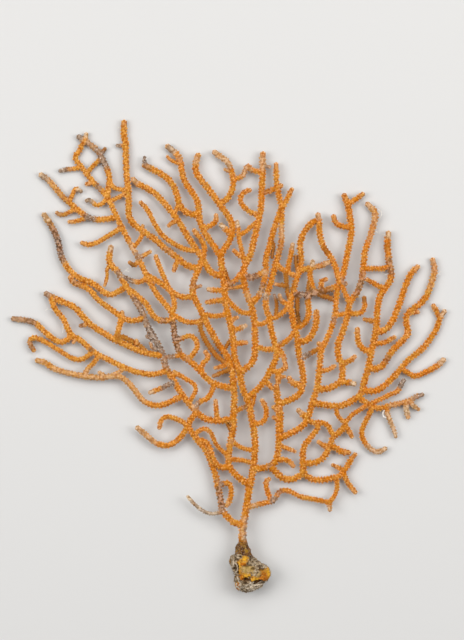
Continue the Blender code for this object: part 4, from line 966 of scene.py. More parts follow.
# The long left arm sweeps out and up from the left limb. Its outer half has lost its orange
# rind and is grey. Six branches leave it for the left edge, with rungs grown between them.
grow_limb("left_arm", {
    "main": shoot(
        LIMB, (233, 419), (226, 419.7), (217, 420.5), (208, 419.5), (201, 416), (194.5, 410), (183, 396),
        (174, 381.5), (166, 368), (162, 354), (154.5, 338.5), (146, 323.5), (140, 308), (132, 295),
        (124, 283), (117, 271), (111, 265.5), (108.7, 260), (110.3, 248),
    ),
    "upright_stub": shoot(TWIG, (217, 420), (216, 411), (215.3, 401.5)),
    "side_loop": bridge(
        SPRIG, (189, 402), (192.5, 396), (195.5, 389.5), (193, 383.5), (185, 378.5), (177, 374), (172, 376),
    ),
    "knob_on_loop": shoot(SPRIG, (180, 375.5), (174.5, 372)),
    "grey_club": shoot(TWIG, (174, 381.5), (161, 388), (150.7, 392)),
    "grey_stub": shoot(TWIG, (155, 339), (148, 336.5)),
    "low_knob": shoot(STRAND, (156.5, 349), (152, 347), (150.5, 343.5)),
    "rear_sprig": shoot(STRAND, (109, 265), (106.5, 270), (106.8, 276), (104.5, 284.5)),
    "root_strand": bridge(STRAND, (225, 420), (228.5, 426.5), (230.5, 431), lift=UNDER),
}, {
    "grey": (
        (141, 311, 6, 0.9), (146, 321, 6, 0.9), (150, 330, 7, 1.0), (154, 338, 7, 1.0), (158, 346, 7, 1.0),
        (161, 354, 6, 0.9), (165, 362, 5, 0.8), (138, 302, 7, 0.8), (119, 274, 5, 0.7), (148, 336, 4, 0.9),
        (171, 383, 4, 1.0), (165, 386, 5, 0.9),
    ),
    "mauve": ((134, 297, 5, 0.4), (167, 368, 4, 0.6)),
    "pale": ((196, 406, 5, 0.6), (110.3, 248, 4, 0.6), (151, 392, 3, 0.6)),
})
grow_limb("far_left_upper", {
    "main": shoot(
        BRANCH, (126, 287), (121, 289.5), (115, 293), (109, 294.5), (103.5, 292), (97, 286.5), (89.8, 282),
        (81, 279), (73.5, 274), (67.5, 268), (63.5, 261.5), (60, 254), (57.5, 241), (51, 226), (44, 215.5),
        tip=LIMB,
    ),
}, {
    "grey": ((56, 239, 4, 0.5), (60, 254, 4, 0.5)),
    "mauve": (
        (51, 226, 6, 0.7), (54, 234, 7, 0.9), (57, 242, 7, 1.0), (59, 250, 7, 1.0), (61, 258, 6, 0.8),
    ),
    "brown": ((54, 234, 7, 0.2), (59, 252, 6, 0.3)),
    "pale": ((45, 217, 6, 0.75),),
})
grow_limb("far_left_middle", {
    "main": shoot(
        BRANCH, (144, 317), (138, 319.5), (131, 320.5), (123, 318), (117, 314), (110, 308.5), (102, 303),
        (95.5, 297), (90, 290.5), (84, 286.3), (78, 284.5), (72.5, 281.5), (70.5, 278),
    ),
    "knob": shoot(SPRIG, (122.3, 318), (121.8, 313)),
}, {
    "mauve": ((78, 284, 4, 0.4), (74, 282, 3, 0.6)),
})
grow_limb("left_branch_one", {
    "main": shoot(
        LIMB, (162, 355), (156, 354.5), (143, 352), (133, 348), (122.5, 343), (112.5, 338.5), (102, 332),
        (92, 325.7), (85.5, 319.5), (78.5, 311.5), (71.5, 305.5), (63, 302), (54, 298), (46.5, 294),
    ),
    "stub": shoot(SPRIG, (88, 323.5), (81, 325.5)),
    "rear_strand": bridge(TWIG, (117, 340), (122, 336.5), (129, 340), (138, 344.5), (146, 352), lift=UNDER),
    "rear_knob": shoot(SPRIG, (136, 345), (136, 341.5)),
    "rung_up": bridge(BRANCH, (116.5, 339.5), (117.5, 332), (119.5, 325), (121.5, 318)),
}, {
    "grey": ((45, 294, 5, 0.7),),
    "mauve": ((50, 296, 5, 0.5), (81, 325, 4, 0.6)),
    "brown": ((119, 337, 5, 0.4),),
})
grow_limb("left_branch_two", {
    "main": shoot(
        BRANCH, (167, 370), (160, 372.7), (152, 374), (144, 373.3), (135, 371.3), (124.5, 367.5),
        (114, 362.5), (105, 358), (97, 354), (90, 349), (84, 343.5), (78, 338.5), (71.5, 336.5), (66, 340),
        (60, 342), (54, 339.5), (44, 331.5), (34, 322.5), (24, 319.8), (13.5, 318.7),
    ),
    "stub": shoot(STRAND, (76, 337.5), (73.5, 341.5)),
    "long_rung": bridge(
        BRANCH, (71.5, 336.5), (67, 328), (63.5, 319.5), (57.5, 312.5), (53, 306), (51.5, 296.5),
    ),
}, {
    "mauve": ((30, 321, 7, 0.6), (22, 320, 6, 0.55), (14, 319, 6, 0.5), (91, 350, 3, 0.7)),
    "brown": ((91, 350, 3, 0.5),),
    "pale": ((26, 320.5, 8, 0.35), (15, 319, 7, 0.5)),
})
grow_limb("left_branch_three", {
    "main": shoot(
        TWIG, (93, 351.5), (88, 355), (83, 358.7), (77, 359.5), (71.5, 358), (63, 353), (55, 348),
        (47, 343), (39, 339), (32.5, 337.5), (29, 341), (30.5, 346), (32.7, 349.5),
    ),
}, {
    "mauve": ((30, 345, 5, 0.6),),
    "brown": ((31, 347, 4, 0.3),),
})
grow_limb("left_branch_four", {
    "main": shoot(
        BRANCH, (182.5, 395.5), (175, 399), (167, 403), (158, 405.3), (149.5, 404), (143, 400.5),
        (139, 396), (134, 389.5), (128, 382.5), (121, 377), (112, 375.8), (102, 377.5), (92, 377),
        (81.5, 375.8), (71.5, 373.7), (61, 371), (52, 367.5), (44.5, 362.5), (37.5, 360.5),
    ),
    "stub": shoot(SPRIG, (104, 376), (99.8, 373)),
    "long_rung": bridge(TWIG, (84, 375), (87.5, 368.5), (93, 363), (98.5, 355)),
    "short_rung": bridge(SPRIG, (112, 376), (118.5, 372), (124.5, 368)),
}, {
    "pale": (
        (40, 361, 7, 0.35), (60, 370, 11, 0.35), (76, 374, 11, 0.36), (92, 377, 11, 0.42),
        (107, 377, 10, 0.42), (121, 378, 10, 0.36), (132, 387, 10, 0.3), (140, 397, 8, 0.3),
    ),
})

# The upper left limb, the longest of the fan, with the twigs at its tip, the tall straight
# limb beside it, and the branches that cross between the two.
grow_limb("upper_left_limb", {
    "main": shoot(
        LIMB, (233, 388), (221, 385.8), (212, 382.4), (205, 376.6), (198, 368.6), (189, 360.6),
        (181, 354.8), (177.4, 348), (174, 334), (172.5, 320), (170.5, 311), (158, 296), (148, 279),
        (138, 258), (127, 238), (116, 216), (106, 196), (92, 181), (79, 164), (75, 159), (74.5, 156),
        (78.5, 151), (81, 145), (83.5, 142), tip=TWIG,
    ),
    "link_to_arm": bridge(TWIG, (214, 384), (211, 392), (206.5, 398.5), (200, 401), (196, 406), (194, 411)),
    "fork_knob": shoot(TWIG, (200, 370), (202.5, 363.5), (208, 357), (205.5, 352.5)),
    "side_loop": bridge(
        TWIG, (187, 359.5), (193.5, 353), (197, 346), (195, 339), (189, 335.5), (182, 338), (175, 339),
    ),
    "grey_rung": bridge(SPRIG, (181, 354.8), (171, 356.5), (163, 357)),
    "long_strand": bridge(
        BRANCH, (172.3, 320), (161, 320.5), (155, 317.5), (150, 311), (146, 304), (140, 298.5), (134, 293),
        (129, 290),
    ),
    "upper_rung": bridge(TWIG, (147.5, 278), (139.5, 281.7), (133, 281), (127, 278.7), (121.5, 276.5)),
    "knob_pair_low": shoot(SPRIG, (139, 260), (134, 265), (130, 262.8)),
    "knob_pair_high": shoot(SPRIG, (138, 258), (143, 255.5), (149, 252)),
    "drooping_twig": shoot(
        TWIG, (121, 227), (114, 232), (107, 236), (100, 240.5), (94, 243.3), (88, 244.5), (82.5, 243),
    ),
    "curled_twig": shoot(SPRIG, (107, 198), (102, 203), (97, 205), (93, 203), (89, 199.5), (87, 200)),
    "small_stub": shoot(SPRIG, (92, 182), (87, 183.5)),
    "grey_twig": shoot(SPRIG, (81, 166.5), (72, 168.5), (66, 168.8), (60.5, 170.3)),
}, {
    "grey": (
        (138, 256, 5, 0.7), (170, 356, 6, 0.8), (127, 279, 8, 0.9), (195, 404, 5, 0.8), (61, 170, 6, 0.9),
        (187, 359, 4, 0.3), (88, 200, 4, 0.7), (98, 187, 4, 0.5),
    ),
    "mauve": (
        (173, 326, 6, 0.8), (175, 336, 7, 0.9), (178, 347, 6, 0.8), (163, 320, 4, 0.6), (68, 168, 4, 0.4),
        (97, 188, 5, 0.4),
    ),
    "brown": ((132, 265, 4, 0.8),),
    "pale": ((133, 248, 8, 0.45), (89, 201, 5, 0.8), (60.5, 170.3, 4, 0.8)),
})
grow_limb("top_left_low", {
    "main": shoot(
        BRANCH, (116.5, 217), (108, 218.5), (100, 219.3), (93, 218.8), (86, 216), (79, 211), (72, 205),
        (66, 200), (60, 194), (54, 187), (48, 180), (41.2, 175),
    ),
    "upper_hook": shoot(SPRIG, (68, 201.5), (72, 194), (75, 188.5), (79.5, 190.5)),
    "lower_twig": shoot(SPRIG, (76, 208.5), (70, 211), (65, 213.8), (60, 214.5), (57, 212.8)),
    "rear_twig": shoot(SPRIG, (88, 217), (80, 219.5), (74, 221.3), (69.5, 221.5)),
}, {
    "grey": ((90, 218, 6, 0.9), (44, 178, 5, 0.6), (80, 192, 3, 0.6)),
    "mauve": ((86, 216, 4, 0.6), (62, 196, 8, 0.3)),
    "brown": ((61, 214, 6, 0.35),),
    "pale": (
        (42, 175.5, 4, 0.8), (47, 181, 6, 0.4), (79, 190, 4, 0.8), (52, 185, 7, 0.3), (58, 212, 3, 0.4),
    ),
})
grow_limb("top_left_high", {
    "main": shoot(
        BRANCH, (107, 198), (107.5, 189), (109, 181), (108, 173), (105, 165), (101.5, 157.5), (98, 151.5),
        (92, 146), (86, 141.5), (79, 137),
    ),
    "lump": shoot(SPRIG, (84.5, 140.5), (85.5, 134.5)),
    "stub": shoot(STRAND, (100.5, 153.5), (104, 148.8)),
    "rung": bridge(SPRIG, (101, 157.5), (94, 164), (86, 173)),
}, {
    "grey": ((104, 161, 6, 0.9), (101, 155, 5, 0.9), (97, 150, 4, 0.8), (79, 137, 4, 0.9)),
    "mauve": ((90, 145, 6, 0.4), (104, 149, 4, 0.5), (105, 166, 4, 0.5)),
    "brown": ((104, 149, 3, 0.4), (105, 165, 4, 0.3)),
    "pale": ((79, 137, 4, 0.85), (85, 134, 4, 0.7), (89, 143, 5, 0.5), (94, 148, 5, 0.4)),
})
grow_limb("middle_left_limb", {
    "main": bridge(
        LIMB, (232.9, 384), (232.2, 374), (230.2, 363.5), (226, 355), (219, 345.6), (213, 335.3),
        (207.3, 325), (202.5, 314.6), (198, 305.4), (193.7, 297), (192.2, 289), (193.2, 282), (196, 274),
        (199, 267), (202.5, 258),
    ),
    "link_to_centre": bridge(TWIG, (203, 314), (208, 315.2), (215, 316), (221, 315), (227.5, 313)),
    "link_to_left": bridge(
        TWIG, (205, 320), (199, 321.5), (192, 322.2), (185, 321.5), (179, 318.5), (172, 314),
    ),
    "rear_strand": bridge(
        TWIG, (203, 317.5), (199.8, 325), (203, 336), (209.5, 347), (217, 356.5), (225, 362.5),
        (231.5, 368), lift=UNDER,
    ),
    "stub_one": shoot(SPRIG, (229, 362.5), (222, 366), (215.7, 367.5)),
    "stub_two": shoot(SPRIG, (230, 369), (221, 372.5), (214, 375.5), lift=UNDER),
    "thin_link": bridge(STRAND, (223, 350.5), (226.5, 345), (232, 337), lift=UNDER),
    "small_stub": shoot(STRAND, (193, 288), (199.5, 286)),
}, {
    "mauve": ((193, 284, 6, 0.4), (200, 286, 3, 0.5)),
    "brown": ((209, 347, 9, 0.5),),
})
grow_limb("left_cross_branch", {
    "main": bridge(
        BRANCH, (193.2, 295.5), (187, 297), (183, 297), (177, 295), (171, 291), (165, 286.5), (159, 282),
        (153, 278.8), (146.5, 275),
    ),
    "upright": shoot(
        TWIG, (171.5, 313), (174, 306), (173.3, 299), (171, 292.5), (167.5, 285.5), (164, 278), (161, 271),
        (158, 263.5), (155.8, 257),
    ),
})
grow_limb("tall_left_limb", {
    "main": shoot(
        LIMB, (199, 268), (191, 267), (184, 263.5), (178, 258.5), (170, 252), (163, 247), (157, 241),
        (150, 236), (142, 230.5), (136, 226), (131, 221), (128.5, 215), (128.2, 200), (127.5, 187),
        (126, 172), (125.3, 152), (125, 143), (123.5, 135), (123.5, 122.8),
    ),
    "down_twig": shoot(TWIG, (178.5, 259), (175.5, 265), (173.8, 269.5)),
    "knob": shoot(STRAND, (142, 230.5), (142.3, 226.5)),
    "stub": shoot(STRAND, (125, 145), (117.5, 145)),
    "rung": bridge(SPRIG, (143, 231.5), (139.5, 239.5), (132, 248)),
    "upper_link": bridge(SPRIG, (127.7, 189.5), (118, 189), (112, 186), (108.5, 180)),
    "lower_link": bridge(SPRIG, (127.7, 191.5), (120, 196), (114, 199), (107, 203)),
}, {
    "grey": ((117.5, 145, 3, 0.8),),
    "pale": ((116.5, 145, 3, 0.7),),
    "mauve": ((168, 251, 6, 0.3),),
})
grow_limb("slanting_left_branch", {
    "main": shoot(
        TWIG, (197, 250.5), (190, 250.3), (183, 248.3), (175, 244.5), (168, 240), (161, 234), (156, 226.5),
        (152, 219.5), (149, 213), (145, 207), (141, 203),
    ),
})

# The middle of the fan: the centre limb carries the stem's line on and splits near the top
# into limbs that lean left, and one that curls over at its tip.
grow_limb("centre_limb", {
    "main": bridge(
        LIMB, (239.2, 372), (236.4, 364), (233.9, 355), (233.2, 343), (231, 329.6), (228.3, 318),
        (225.8, 306.6), (224.5, 295), (223.3, 282.5), (221.6, 268.7), (220.3, 256),
    ),
    "left_stub_high": shoot(TWIG, (223.5, 289.5), (215, 290.3), (209, 289.3)),
    "left_stub_low": shoot(TWIG, (224.5, 299.8), (214, 300.8), (207.3, 302)),
    "right_stub_high": shoot(SPRIG, (228, 321), (236, 317.7)),
    "right_stub_middle": shoot(TWIG, (231, 331), (239, 328.3), (244.3, 326)),
    "right_stub_low": shoot(TWIG, (233, 343.5), (244.8, 342.5)),
}, {
    "pale": ((208, 289.5, 4, 0.4), (244, 326, 4, 0.6)),
})
grow_limb("high_left_limb", {
    "main": shoot(
        LIMB, (222, 275.5), (214, 274), (209, 270), (205, 264), (202, 258), (198, 252), (193, 245),
        (188, 237.5), (178, 221), (167, 206.5), (155, 193.5), (148, 189), (136, 182.5), (133.5, 180),
    ),
    "side_twig": shoot(SPRIG, (177, 220), (171, 223), (169, 225)),
    "crossing_twig": shoot(
        TWIG, (202, 259), (204, 252), (204, 246), (201, 240), (197.5, 235), (194.3, 231),
    ),
}, {
    "pale": ((135, 181, 4, 0.5),),
})
grow_limb("high_left_branch", {
    "main": shoot(
        LIMB, (198.3, 214.5), (190, 214), (185, 211.5), (181, 207.5), (178.5, 203), (177, 196),
        (174.5, 189), (170, 181.5), (165, 176.5), (158, 172), (150, 168), (144.8, 165),
    ),
    "grey_end": shoot(STRAND, (146, 165.5), (143.8, 161), (144, 158)),
    "rung": bridge(SPRIG, (178.5, 203.5), (176, 209.5), (172.5, 215)),
}, {
    "grey": ((144, 160, 5, 1.0),),
    "mauve": ((147, 166, 5, 0.4),),
    "pale": ((144, 158, 3, 0.7),),
})
grow_limb("high_centre_left", {
    "main": shoot(
        LIMB, (220.2, 256), (215, 248), (209.5, 240.5), (204.5, 233), (201.5, 226), (199, 219),
        (197.8, 204), (195, 197), (186, 184), (182.5, 176.5), (180, 161.5), (177, 155), (172, 150),
        (168, 146.8),
    ),
    "top_twig": shoot(STRAND, (180, 164), (175, 162), (170, 159.5), (167.5, 156.8)),
    "side_hook": shoot(TWIG, (202, 228.5), (208, 226.5), (213, 223.5), (216, 219.5), (215.7, 216)),
}, {
    "grey": ((170, 148, 5, 0.4),),
    "pale": ((171, 149, 6, 0.8), (180, 158, 5, 0.3)),
})
grow_limb("high_centre_right", {
    "main": shoot(
        LIMB, (219.6, 255.2), (223.5, 249.2), (228, 243), (231, 236.5), (232.5, 230), (231.5, 223),
        (227, 215), (217, 201), (206.5, 187), (201, 180), (196.5, 174), (195, 167), (196, 160),
        (197.5, 156),
    ),
    "club_stub": shoot(BRANCH, (231, 235.5), (226, 230), (221.5, 225.5)),
}, {
    "pale": ((221, 225, 5, 0.8), (196, 160, 5, 0.4)),
})
grow_limb("top_centre_branch", {
    "main": shoot(
        BRANCH, (218.5, 203), (225, 200.5), (229, 195.5), (232, 189), (233, 182), (232, 175), (230, 168),
        (227, 161.5), (221, 157), (215, 152.5),
    ),
    "spur": shoot(STRAND, (230, 171.5), (225.3, 169.5)),
}, {
    "grey": ((228, 167, 4, 0.4),),
    "pale": ((224, 160, 9, 0.6), (216, 153, 4, 0.5)),
})

# Right of the middle four limbs run up close together, tied by many short rungs. Thin strands pass underneath
# them, darkened with painted shade.
grow_limb("centre_right_limb", {
    "main": bridge(
        LIMB, (239.5, 372), (247.5, 366.5), (253, 360), (254.7, 350), (254.6, 335), (254, 322),
        (252.5, 312), (250.5, 303), (247, 295), (244.5, 287), (243, 277),
    ),
    "lower_link": bridge(TWIG, (252, 313), (243, 312.8), (237, 309.5), (231, 304), (225.5, 297)),
    "rung": bridge(STRAND, (244.5, 286), (240, 286.5), (234, 287.5), (224, 288.5)),
}, {
    "mauve": ((231, 287, 4, 0.5),),
    "pale": ((247, 295, 5, 0.3),),
})
grow_limb("upper_centre_right", {
    "main": shoot(
        LIMB, (243, 278), (244, 267), (248.5, 258), (251.5, 249), (254, 238), (256.5, 228), (258.7, 218),
        (260.5, 208), (261.2, 198), (261.5, 186), (262, 175), (262.2, 162), (262.5, 154.5),
    ),
    "link_to_centre": bridge(TWIG, (243.5, 270), (239, 275.5), (235, 280), (230, 283.5), (223, 286)),
    "rear_strand": bridge(STRAND, (230, 283.5), (227.5, 279), (225.5, 272), (222, 266), lift=UNDER),
    "low_stub": shoot(TWIG, (248, 259.5), (243, 257.5), (238, 254.5), (234.3, 251.3), lift=OVER),
    "inner_strand": shoot(
        SPRIG, (244.5, 265), (242.5, 256), (240.5, 247), (238.5, 238), (238, 230), (237, 222.5),
    ),
    "strand_link": bridge(SPRIG, (238.3, 234.5), (244, 232.5), (248, 229), (252, 225.5), (257.5, 221)),
    "hook": shoot(
        TWIG, (259, 215.5), (253, 213.3), (247, 210), (242, 205), (239.8, 199), (241.5, 194.5),
        (245, 191.3), (248.5, 190.3),
    ),
    "top_link": bridge(
        TWIG, (262, 171), (256, 171), (250.5, 169.3), (247.5, 165.8), (244.8, 170), (243, 175),
        (239, 177.5), (231, 179.5),
    ),
    "top_stub": shoot(STRAND, (262, 165.5), (268.3, 166.5)),
}, {
    "grey": ((267, 166.5, 3, 0.6),),
    "mauve": ((230, 284, 4, 0.5),),
    "pale": ((262, 163, 8, 0.5), (245, 171, 8, 0.5), (237, 224, 4, 0.8)),
})
grow_limb("right_centre_limb", {
    "main": shoot(
        LIMB, (246, 398.5), (252, 393.5), (257, 389), (262, 383.5), (266, 378), (269, 372), (273, 364),
        (276, 357), (276, 348), (273.5, 341), (271.3, 332), (270, 325), (268.5, 317), (266, 309.5),
        (265, 302), (266.5, 294), (269.5, 285), (272.3, 275), (274.5, 266), (277.3, 257), (279.5, 249),
        (281, 241), (281, 225), (281, 208), (278.8, 197), (276.8, 187), (276, 180), (275.8, 165), tip=TWIG,
    ),
    "root_strand": bridge(STRAND, (254.5, 392), (253.5, 399), (252.5, 403.5), (249.5, 409)),
    "top_right": shoot(TWIG, (281, 209), (284.5, 203), (288, 196), (291, 190)),
    "top_link": bridge(TWIG, (277, 187.5), (272, 189.5), (267, 191.5), (261.5, 192.5)),
    "top_knob": shoot(TWIG, (277, 188), (279.8, 186)),
    "lower_rung": bridge(TWIG, (275, 348), (267, 349.5), (262, 348.3), (254.8, 346.5)),
    "upper_rung": bridge(SPRIG, (269, 320), (264, 323), (259, 324.2), (254, 323.5)),
    "curl": shoot(TWIG, (270.5, 370), (277, 371.7), (282, 369.8), (285.3, 367), (284.8, 363.5)),
    "curl_stub": shoot(BRANCH, (278.5, 371.5), (277.7, 376), (277.7, 381)),
    "curl_sprig": shoot(STRAND, (278, 377.5), (283.5, 376.5)),
    "side_stub": shoot(TWIG, (277, 347.5), (280.5, 351.5), (283, 356.5), (283.6, 359.5)),
    "low_stub": shoot(TWIG, (264.5, 380.5), (268.5, 384.5), (271, 387.5)),
}, {
    "grey": ((265, 297, 3, 0.6),),
    "mauve": ((279, 248, 7, 0.35), (266, 189, 5, 0.4)),
    "pale": ((281, 232, 8, 0.4), (265, 296, 4, 0.7)),
})
grow_limb("parallel_limb", {
    "main": bridge(
        BRANCH, (250.5, 302.5), (256, 298.5), (259.5, 293.5), (262, 287), (264, 279), (265.8, 271),
        (265, 263.5), (266, 256), (268.7, 247), (271, 238), (274, 228), (277, 219), (281, 209),
    ),
    "pale_link": bridge(BRANCH, (265, 271.5), (258.5, 274.5), (251, 277.5), (243, 275)),
    "inner_strand": shoot(STRAND, (270.5, 239), (273.5, 246), (272, 252), (271.8, 256.5), lift=UNDER),
}, {
    "grey": ((254, 277, 5, 0.5), (247, 277, 4, 0.4)),
    "mauve": ((262, 287, 5, 0.7), (250, 276, 8, 0.5), (243, 275, 4, 0.5)),
    "pale": ((260, 292, 4, 0.5), (265, 273, 4, 0.4)),
})

# The thick limb that forks right from the stem, with the loop and the ring of twigs below
# it, and the lowest branch of all, which ends in a small fork.
grow_limb("right_limb", {
    "main": shoot(
        LIMB, (253, 468), (260, 468.5), (266, 467), (271, 465.5), (275, 461), (277, 455), (278.2, 446),
        (278.5, 436), (278.5, 427), (278.5, 418), (278.5, 410), (277.5, 402), (276.8, 394), (276, 387),
    ),
    "thick_stretch": shoot(TRUNK, (279, 432), (279.3, 420), (279, 408)),
    "left_knob_low": shoot(SPRIG, (278, 419), (274, 417.5)),
    "left_knob_high": shoot(SPRIG, (278, 411), (273.5, 407.5)),
    "right_stub": shoot(SPRIG, (278.5, 446), (285, 447.5), (290, 449.3), (293.7, 451)),
    "right_hook": shoot(TWIG, (276.5, 459.5), (284, 459.3), (289, 461.5), (292.3, 465.3)),
}, {
    "mauve": ((270, 467, 4, 0.6),),
})
grow_limb("lower_right_loop", {
    "main": shoot(
        LIMB, (270.5, 466.5), (275, 471.5), (279.5, 476), (285, 479), (291, 479.3), (297, 477), (303, 474),
        (310, 478.3), (316, 479.8), (323, 479.8), (330, 478.3), (336, 477), (341, 474.5), (343.8, 471),
        (347, 466), (350.5, 460), (354.3, 455.2), tip=TWIG,
    ),
    "upper_twig": shoot(SPRIG, (343.5, 471), (338.5, 467.7), (333.3, 465.3)),
    "lower_twig": shoot(TWIG, (343.3, 473.5), (346.5, 481), (350.3, 486.5), (354.3, 491.5)),
})
grow_limb("lower_right_ring", {
    "main": bridge(
        LIMB, (302.5, 474), (302.7, 466), (302.3, 459), (302.5, 452), (304, 445.5), (308, 440),
        (312.5, 434.5), (316, 430), (318.3, 423.5), tip=TWIG,
    ),
    "ring": bridge(
        BRANCH, (303, 463.5), (309, 463), (315, 462.3), (321, 459), (325.5, 454), (328, 448),
        (330.5, 442.5), (333, 437), (338, 432.5), (345.5, 426),
    ),
    "upper_bar": bridge(
        TWIG, (333.5, 436), (330, 430), (326.5, 424.5), (321, 422.5), (314, 422.3), (307, 420.5),
    ),
    "left_club": shoot(TWIG, (328.5, 447.5), (323, 445), (319, 442.3)),
    "right_club": shoot(BRANCH, (330, 445.5), (335.5, 447.5), (341, 451.5), (347.3, 452.3)),
    "orange_club": shoot(TWIG, (345, 425.5), (348.3, 430.5), (351, 435.7)),
})
grow_limb("bottom_branch", {
    "main": shoot(
        TWIG, (245.5, 507), (253, 505.5), (260, 503.5), (267, 502), (273, 500.5), (276, 496), (279, 491.5),
        (283, 490), (289, 490.7), (295, 494), (301, 496.7), (308, 498), (315, 499.3), (322, 500.7),
        (328.5, 503), (329.3, 508.7), tip=SPRIG,
    ),
    "left_curl": shoot(TWIG, (271, 501), (268.5, 495), (266.3, 488), (265.5, 482), (268, 479.5)),
    "strand_up": bridge(SPRIG, (328.5, 502.5), (332.5, 498), (335.8, 491.5), (336.8, 484), (335.5, 477.5)),
}, {
    "grey": ((274, 500, 5, 0.9),),
    "mauve": ((279, 492, 4, 0.6),),
    "pale": ((329, 508, 3, 0.6), (254, 506, 5, 0.4)),
})

# The right half rises from the thick limb in three long limbs, with a pinkish branch across
# them that has strands in front of it and behind it.
grow_limb("right_trunk_branch", {
    "main": bridge(
        LIMB, (277.5, 404), (285, 401.5), (291, 399), (297, 395.5), (300.8, 390.5), (302.6, 384),
        (302.8, 376), (301.8, 369), (300, 361), (298.2, 352), (297, 342), (296, 333), (293.5, 324),
        (291.5, 314), (290, 303), (292, 294), (294, 286), (296, 279), (298.7, 271), (300.5, 264),
        (300.5, 254), (299.5, 246), (301, 238), (305, 230), (310, 224), (316, 220.3), tip=BRANCH,
    ),
    "left_stub": shoot(BRANCH, (302, 384.5), (296, 384.5), (291.5, 382), (289.3, 378.7)),
    "right_hook": shoot(
        LIMB, (297, 341), (303, 341.3), (308, 338.8), (312, 333.5), (314.8, 327), (316, 320), (316, 312.5),
    ),
    "cross_link": bridge(TWIG, (295, 330), (292, 334.5), (287, 340), (281, 343.8), (275, 346.5)),
    "upper_link": bridge(TWIG, (290.5, 305), (286, 309), (281, 313.5), (275, 317), (268, 319)),
    "short_twig": shoot(TWIG, (290.5, 306), (284.5, 303), (280.7, 300), (279.3, 296.3)),
    "rear_sprig": shoot(STRAND, (275, 317), (276, 309), (276.3, 303), (274.3, 295.5), lift=UNDER),
    "side_strand": bridge(
        SPRIG, (290.5, 300), (287.5, 294), (286.8, 287), (285.8, 280), (285.5, 272), lift=UNDER,
    ),
    "strand_stub": shoot(SPRIG, (286.5, 285.5), (280, 285), (276.3, 284.3)),
    "bridge": bridge(TWIG, (297, 277), (291, 273.8), (285.5, 271.3), (280.5, 268.5), (275, 264)),
    "bridge_twig": shoot(TWIG, (287, 272), (288.3, 264), (290.3, 255), (292, 245.3)),
    "rear_twig": shoot(SPRIG, (298.5, 272), (296, 264), (295.5, 257), lift=UNDER),
    "right_twig": shoot(TWIG, (299, 271), (305, 268.7), (312, 267), (319, 266), (326.8, 262.8), tip=BRANCH),
    "right_twig_knob": shoot(TWIG, (311.8, 267), (312, 262.5)),
}, {
    "grey": ((274, 295, 4, 0.7), (279, 341, 3, 0.6)),
    "mauve": ((320, 266, 6, 0.3),),
    "brown": ((276, 303, 6, 0.6), (286, 284, 9, 0.5), (295.5, 259, 5, 0.5)),
    "pale": ((292, 246, 4, 0.6), (312, 263, 4, 0.8), (280, 297, 4, 0.5), (327, 263, 4, 0.4)),
})
grow_limb("pink_branch", {
    "main": shoot(
        BRANCH, (292, 293.5), (299, 294.3), (306, 294.8), (313, 293.3), (320, 291), (327, 289.5),
        (334, 287.3), (339.5, 283.5), (342, 276), (344, 268), (346, 259), (347.7, 250), (349.5, 241),
        (351, 233), (350.8, 226), (349.5, 216), (348, 207), (346, 200.5), (344.3, 196.3), tip=LIMB,
    ),
    "pink_knob": shoot(TWIG, (340, 283), (344, 283.5)),
    "bow": bridge(
        BRANCH, (308, 294.8), (307.5, 302), (308.3, 309), (307.8, 316), (305, 321.8), (300.5, 325.7),
        (294.5, 327.5),
    ),
    "front_strand": bridge(TWIG, (314, 292.5), (311.5, 284), (309.7, 277), (309.5, 267.5)),
    "rear_strand": bridge(SPRIG, (308.5, 294), (308, 287), (310, 279), lift=UNDER),
    "sunken_strand": bridge(SPRIG, (297, 294), (296.7, 303), (297, 313), (298.5, 324.5), lift=UNDER),
    "small_hook": shoot(TWIG, (321.5, 290.5), (320.5, 285.5), (321.5, 281), (324.7, 279.3)),
    "lower_strand": shoot(TWIG, (316, 292.5), (322, 295.3), (329, 297.5), (335, 300), lift=UNDER),
    "high_hook": shoot(
        TWIG, (350.8, 227), (344, 226.5), (338, 224.8), (334.7, 221), (333.5, 217.3), tip=BRANCH,
    ),
    "high_twig": shoot(TWIG, (347.3, 204), (353, 200.5), (358, 197.3), (361.8, 194.3)),
}, {
    "grey": ((302, 295, 3, 0.6), (345, 284, 3, 0.4)),
    "mauve": (
        (297, 294, 5, 0.8), (304, 295, 6, 0.9), (312, 294, 6, 0.8), (320, 291, 5, 0.7), (328, 290, 5, 0.4),
        (341, 282, 5, 0.6),
    ),
    "brown": ((297, 317, 8, 0.9), (297, 305, 8, 0.6), (327, 297, 8, 0.5)),
})
grow_limb("slender_left_fork", {
    "main": shoot(
        BRANCH, (339.5, 284), (337.3, 275), (335, 267), (332, 260), (328.5, 254.5), (324.5, 249),
        (321.5, 242.5), (319.5, 235), (318.8, 228), (318.5, 221), (317.7, 215.5),
    ),
}, {
    "brown": ((326, 250, 5, 0.5),),
    "pale": ((318, 217, 4, 0.5),),
})
